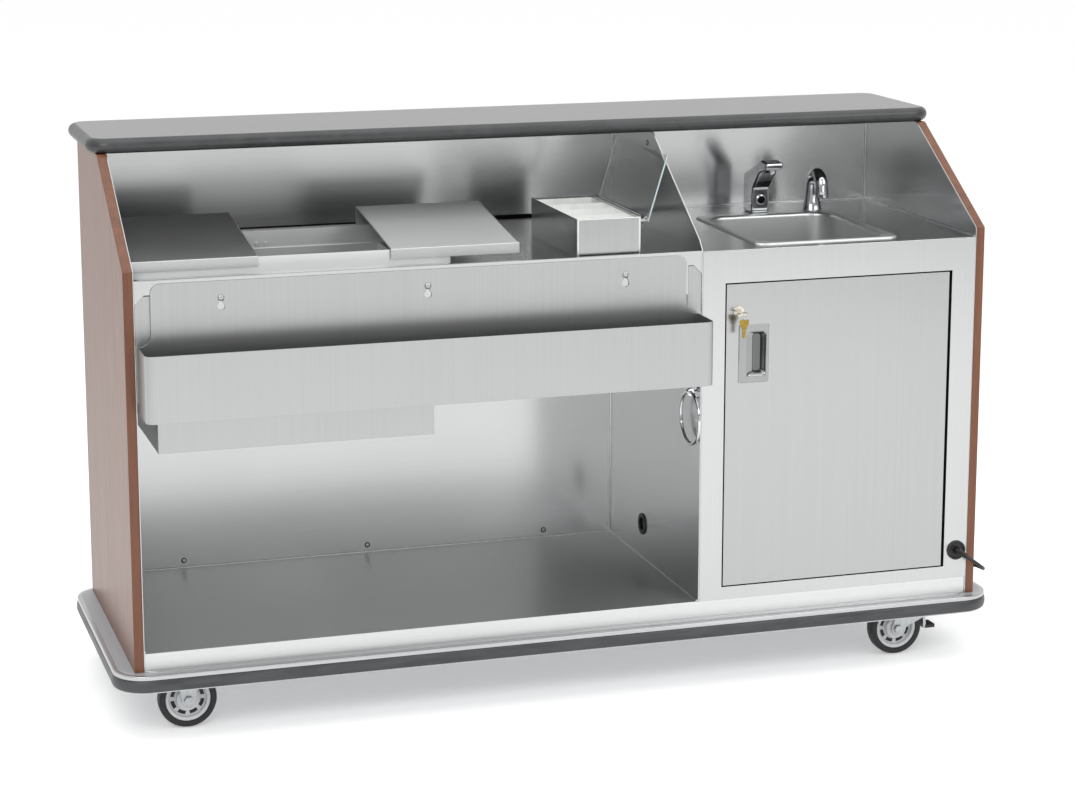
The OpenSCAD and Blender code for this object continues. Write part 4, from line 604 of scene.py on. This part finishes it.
# Recessed pull: a bordered plate whose cup slopes in from the left and turns back sharply on the right
def pull():
    bm = bmesh.new()
    rings = [  # across, up, corner radius, depth
        ((1327, 1397), (677, 805), 2, 0), ((1327, 1397), (677, 805), 2, -1.2), ((1328, 1396), (678, 804), 1.6, -2),
        ((1344, 1392), (690, 792), 7, -2), ((1346, 1391), (692, 790), 7.6, -1.4), ((1348.5, 1390), (694, 788), 8, 0.4),
        ((1356, 1389.2), (696, 786), 7.5, 3), ((1361, 1387.6), (697.5, 784.5), 7, 5.4),
        ((1363, 1385.4), (699, 783), 6.5, 8), ((1364, 1382), (700.5, 781.5), 6, 12.8)]
    upright = Matrix(((1, 0, 0, 0), (0, 0, -1, 0), (0, 1, 0, 0), (0, 0, 0, 1)))
    bridge(bm, [round_loop(bm, x, z, r, -y) for x, z, r, y in rings[:-2]])
    bmesh.ops.transform(bm, matrix=upright, verts=bm.verts)
    piece(bm, "recessed_pull", "cabinet_door", "pull_steel", ["door_pull"])
    # The pocket gets a darker finish of its own: painted shade in the recess
    bm = bmesh.new()
    loops = [round_loop(bm, x, z, r, -y) for x, z, r, y in rings[-3:]]
    bridge(bm, loops)
    bmesh.ops.contextual_create(bm, geom=loops[-1])
    bmesh.ops.transform(bm, matrix=upright, verts=bm.verts)
    piece(bm, "pull_pocket", "cabinet_door", "pocket")


pull()


def spare_key():
    """A brass key on a split ring, which hangs from the key in the lock."""
    x, z = 1326, 812.4
    bm = bmesh.new()
    half = [(9, 11.4), (11, 9), (10.4, 2), (6, -7), (4, -11.5), (4, -17), (3.2, -18.5), (4, -20), (4, -23), (3, -24.5),
            (4, -26), (1, -30.5)]
    back = [(-4, -28), (-4, -11.5), (-6, -7), (-10.4, 2), (-11, 9), (-9, 11.4)]
    prism(bm, [(x + a, z + b) for a, b in half + back], "y", -33.9, -31.7, ease=0.45, segments=2)
    raised = [(-6, 7.5), (6, 7.5), (6.6, 3), (3, -4), (-3, -4), (-6.6, 3)]
    prism(bm, [(x + a, z + b) for a, b in raised], "y", -34.3, -33.6, ease=0.2, segments=1)
    piece(bm, "spare_key_blank", "spare_key", "brass", ["hanging_key"])
    bm = bmesh.new()
    ring_r, wire_r = 9, 0.7
    wire = [(ring_r + wire_r * math.cos(math.radians(a)), wire_r * math.sin(math.radians(a)))
            for a in range(0, 361, 30)]
    lathe(bm, wire, (x, -32.8, 830.2), (1, 0, 0), steps=40)
    piece(bm, "key_ring", "spare_key", "nickel")


def seams():
    """Welded folds where sheets meet: polished beads that catch a thin line of light."""
    left, store, wash, right = 23, 1239, 1244, 1885
    front, back = 6, 595
    floor, counter, splash = 192, 972, 1188
    bm = bmesh.new()
    for a, b in (((left, back, floor), (store, back, floor)), ((store, front, floor), (store, back, floor)),
                 ((wash, back, counter), (right, back, counter)), ((right, back, counter), (right, back, splash)),
                 ((right, front, counter), (right, back, counter)), ((wash, back, counter), (wash, back, splash)),
                 ((left, back, floor), (left, back, splash)), ((store, back, floor), (store, back, splash)),
                 ((left, front, floor), (left, back, floor))):
        bead(bm, a, b, 2)
    piece(bm, "polished_seams", "base", "seam")


def lid_hems():
    """Folded edges along the front and the ends of the lids, which shine as thin lines."""
    front, rear, inset, radius = (51.8, 1002), (361, 1046.6), 1.2, 1.1
    for name, body, x0, x1 in (("left_lid_hem", "left_lid", 24, 287), ("right_lid_hem", "right_lid", 567, 847)):
        left, right = x0 + inset, x1 - inset
        bm = bmesh.new()
        bead(bm, (left, *front), (right, *front), radius)
        for x in (left, right):
            bead(bm, (x, *front), (x, *rear), radius)
        piece(bm, name, body, "seam")


def garnish_edges():
    """Welded corners and rim on the box's front, and flame polished edges on the clear lid."""
    bm = bmesh.new()
    for x in (968.2, 1105.8):
        bead(bm, (x, 24.2, 967), (x, 24.2, 1050), 3, sides=20)
    bead(bm, (967, 22.8, 1048.8), (1107, 22.8, 1048.8), 1.2)
    piece(bm, "garnish_box_corners", "base", "seam")
    hinge_x, near, far, radius = 1124.7, 23, 349, 1.3
    bm = bmesh.new()
    for y in (near, far):
        bead(bm, (hinge_x, y, 1039.2), (1167.2, y, 1178.2), radius)
    bead(bm, (hinge_x, near, 1039.8), (hinge_x, far, 1039.8), radius)
    piece(bm, "garnish_lid_edges", "garnish_cover", "acrylic_edge")


def closing_plates():
    """Small plates that close the front under the fascia's corners, beside the bottle rail's back plate."""
    bm = bmesh.new()
    for x in ((22.6, 89), (1210, 1239.4)):
        block(bm, x, (2.2, 3.4), (722, 941), ease=0.3, segments=2)
    piece(bm, "fascia_closing_plates", "base", "steel_satin")


def sill_strip():
    """A satin wear strip on the sill, mitred at its ends like the sheet under it."""
    bm = bmesh.new()
    prism(bm, [(54, -14.2), (1854, -14.2), (1884, 1.6), (24, 1.6)], "z", 153.6, 155, ease=0.5, segments=2)
    piece(bm, "sill_wear_strip", "base", "steel_wide")


def fill_door_gap_shade():
    """A black filler in the gap round the door: painted shade, so that the gap reads as a black line."""
    left, right, low, high, deep = 1295.1, 1831.8, 219.2, 898.8, (0.8, 19)
    bm = bmesh.new()
    for x, y, z in (((left, 1297.8), deep, (low, high)), ((1829.7, right), deep, (low, high)),
                    ((1822, right), (21.2, 24), (low, high)), ((left, right), deep, (896.3, high)),
                    ((left, right), deep, (low, 221.8))):
        block(bm, x, y, z)
    piece(bm, "door_gap_shade", "base", "gap_shade_black")


def fill_splash_gap_shade():
    """A black filler between the work top and the back: painted shade for the dark line under the splash."""
    bm = bmesh.new()
    angle = [(575.4, 956), (595.8, 956), (595.8, 973), (592, 973), (592, 964), (575.4, 964)]
    prism(bm, angle, "x", 24.5, 1239, ease=0.8, segments=2)
    piece(bm, "splash_gap_shade", "base", "gap_shade_black")


def bumper():
    """The vinyl strip with a fuller round than its solid, swept round the deck as a run of loops."""
    bm = bmesh.new()
    deck_x, deck_y, corner_r = (-29, 1937), (-19, 626), 60
    rings = [  # distance out from the deck, height
        (3, 116), (8.5, 116), (10.4, 117.2), (11.8, 119.5), (12.7, 123), (13.2, 127), (13.3, 129.5), (13.2, 132),
        (12.7, 136), (11.8, 139.5), (10.4, 141.8), (8.5, 143), (3, 143)]
    loops = [round_loop(bm, (deck_x[0] - out, deck_x[1] + out), (deck_y[0] - out, deck_y[1] + out), corner_r + out, z,
                        segments=20) for out, z in rings]
    bridge(bm, loops + loops[:1])
    piece(bm, "bumper_round", "base", "bumper", ["bumper_strip"])


def pedal_pads():
    """Ribbed black pads on the brake pedals."""
    for name, body, y in (("front_pedal_pad", "front_brake", 78), ("rear_pedal_pad", "rear_brake", 536)):
        bm = bmesh.new()
        block(bm, (1821, 1845.6), (y - 16.8, y + 16.8), (55.2, 64), ease=1.6)
        for x in (1825.5, 1830, 1834.5, 1839):
            block(bm, (x, x + 2), (y - 14, y + 14), (63.4, 65.2), ease=0.6, segments=2)
        piece(bm, name, body, "black_rubber")


pedal_pads()
spare_key()
seams()
lid_hems()
garnish_edges()
closing_plates()
sill_strip()
fill_door_gap_shade()
fill_splash_gap_shade()
bumper()

# Solids that are right as they are, with their edges rounded
# The ice bin, lid rail and storage floor take finishes painted paler than the other steel, as painted light in their
# shade
for node, finish, width in (
        ("left_end_panel", "cherry", 1.2), ("right_end_panel", "cherry", 1.2), ("customer_panel", "cherry", 1.2),
        ("deck", "deck_plate", 0.8), ("bumper_channel", "aluminium", 0.7),
        ("end_liners", "steel_up", 0.5), ("divider", "steel_up", 0.8), ("storage_floor", "steel_floor", 0.7),
        ("ice_fascia", "steel_long", 0.7), ("work_top", "steel_long", 0.7), ("ice_bin", "steel_bin", 0.5),
        ("bin_casing", "steel_satin", 0.5), ("lid_rail", "steel_bin", 0.6), ("speed_rail", "steel_satin", 0.5),
        ("left_ice_lid", "steel_deep", 0.6), ("right_ice_lid", "steel_wide", 0.6), ("garnish_box", "steel_door", 0.5),
        ("garnish_insert", "white", 0.7), ("garnish_lid", "acrylic", 0.5), ("sink_counter", "steel_long", 0.7),
        ("cabinet_frame", "steel_frame", 0.8), ("door", "steel_door", 1.0), ("lock_body", "nickel", 0.6),
        ("lock_plug", "nickel", 0.4), ("towel_bracket", "chrome", 0.8),
        ("rigid_casters", "zinc", 0.8), ("swivel_plates", "zinc", 0.8), ("right_front_fork", "zinc", 0.8),
        ("right_rear_fork", "zinc", 0.8), ("right_front_brake", "zinc", 1.2), ("right_rear_brake", "zinc", 1.2),
        ("fresh_tank", "milky", 7.0), ("waste_tank", "grey_poly", 7.0), ("tank_caps", "blue_poly", 1.6),
        ("pump", "pump_paint", 1.2), ("soap_bottle", "white", 4.0), ("wall_grommet", "black_rubber", 0.9)):
    eased(node, finish, width)

# Solids that stay as they are and only change their finish
for node, finish in (("back_liner", "steel_back"), ("bar_top", "graphite"), ("bar_top_edge", "edging"),
                     ("faucet_sensor", "black_gloss"), ("water_hoses", "hose"), ("towel_ring", "chrome")):
    for held in NODES[node].material_slots:
        held.material = FINISH[finish]


# Studio: a white floor that keeps the shadow, a white sweep behind, a dim room in front, and soft lamps
FLOOR_GLOW = 0.3
ROOM_FRONT, ROOM_REAR, ROOM_TOP = 0.43, 1.0, 0.8


def studio_floor():
    """Matt white paper, which glows a little only where it is looked at."""
    bm = bmesh.new()
    bmesh.ops.create_grid(bm, x_segments=1, y_segments=1, size=40)
    mesh = bpy.data.meshes.new("floor")
    bm.to_mesh(mesh)
    bm.free()
    paper, tree, shader, _ = start("white studio floor")
    shader.inputs["Base Color"].default_value = (0.9, 0.9, 0.9, 1)
    shader.inputs["Roughness"].default_value = 1.0
    shader.inputs["Specular IOR Level"].default_value = 0.0
    shader.inputs["Emission Color"].default_value = (1, 1, 1, 1)
    ray = add(tree, "ShaderNodeLightPath").outputs
    seen = add(tree, "ShaderNodeMath", {0: ray["Is Camera Ray"], 1: ray["Is Glossy Ray"]}, operation="MAXIMUM")
    seen = add(tree, "ShaderNodeMath", {0: seen.outputs[0], 1: ray["Is Transmission Ray"]}, operation="MAXIMUM")
    glow = add(tree, "ShaderNodeMath", {0: seen.outputs[0], 1: FLOOR_GLOW}, operation="MULTIPLY")
    tree.links.new(glow.outputs[0], shader.inputs["Emission Strength"])
    mesh.materials.append(paper)
    floor = bpy.data.objects.new("floor", mesh)
    SCENE.collection.objects.link(floor)


def studio_room():
    """A room that is bright behind the unit and dim in front of it, and plain white to the camera."""
    world = bpy.data.worlds.new("studio")
    SCENE.world = world
    world.use_nodes = True
    tree = world.node_tree
    way = add(tree, "ShaderNodeTexCoord").outputs["Generated"]
    way = add(tree, "ShaderNodeSeparateXYZ", {0: way})
    rear = add(tree, "ShaderNodeMapRange", {"Value": way.outputs["Y"], "From Min": -0.35, "From Max": 0.35,
                                            "To Min": ROOM_FRONT, "To Max": ROOM_REAR},
               interpolation_type="SMOOTHSTEP")
    high = add(tree, "ShaderNodeMapRange", {"Value": way.outputs["Z"], "From Min": 0.45, "From Max": 0.85,
                                            "To Min": 0.0, "To Max": 1.0},
               interpolation_type="SMOOTHSTEP")
    tone = add(tree, "ShaderNodeMix", {0: high.outputs[0], 2: rear.outputs[0], 3: ROOM_TOP}, data_type="FLOAT")
    ray = add(tree, "ShaderNodeLightPath").outputs
    seen = add(tree, "ShaderNodeMath", {0: ray["Is Camera Ray"], 1: ray["Is Transmission Ray"]}, operation="MAXIMUM")
    level = add(tree, "ShaderNodeMath", {0: tone.outputs[0], 1: seen.outputs[0]}, operation="MAXIMUM")
    sky = tree.nodes["Background"]
    sky.inputs["Color"].default_value = (1, 1, 1, 1)
    tree.links.new(level.outputs[0], sky.inputs["Strength"])
    # The room is smooth, so it needs no sampling as a lamp
    world.cycles.sampling_method = "NONE"


def studio_lamps():
    lamps = (  # name, place, aim, width, height, watts
        ("key", (-2.8, -4.6, 3.9), (0, 0, 0.6), 2.4, 2.0, 112),
        ("fill", (3.2, -4.4, 4.0), (0, 0, 0.6), 2.4, 2.0, 70),
        ("top", (0, -0.4, 4.6), (0, 0, 0.6), 6.0, 4.4, 90),
        ("softbox", (1.5, -5.8, 1.6), (0.1, 0.3, 0.3), 3.2, 1.3, 19))
    for name, place, aim, width, height, watts in lamps:
        lamp = bpy.data.lights.new(name, "AREA")
        lamp.shape = "RECTANGLE"
        lamp.size, lamp.size_y, lamp.energy = width, height, watts
        stand = bpy.data.objects.new(name, lamp)
        stand.location = place
        stand.rotation_euler = (Vector(aim) - Vector(place)).to_track_quat("-Z", "Y").to_euler()
        SCENE.collection.objects.link(stand)


studio_floor()
studio_room()
studio_lamps()
SCENE.view_settings.view_transform = "Standard"
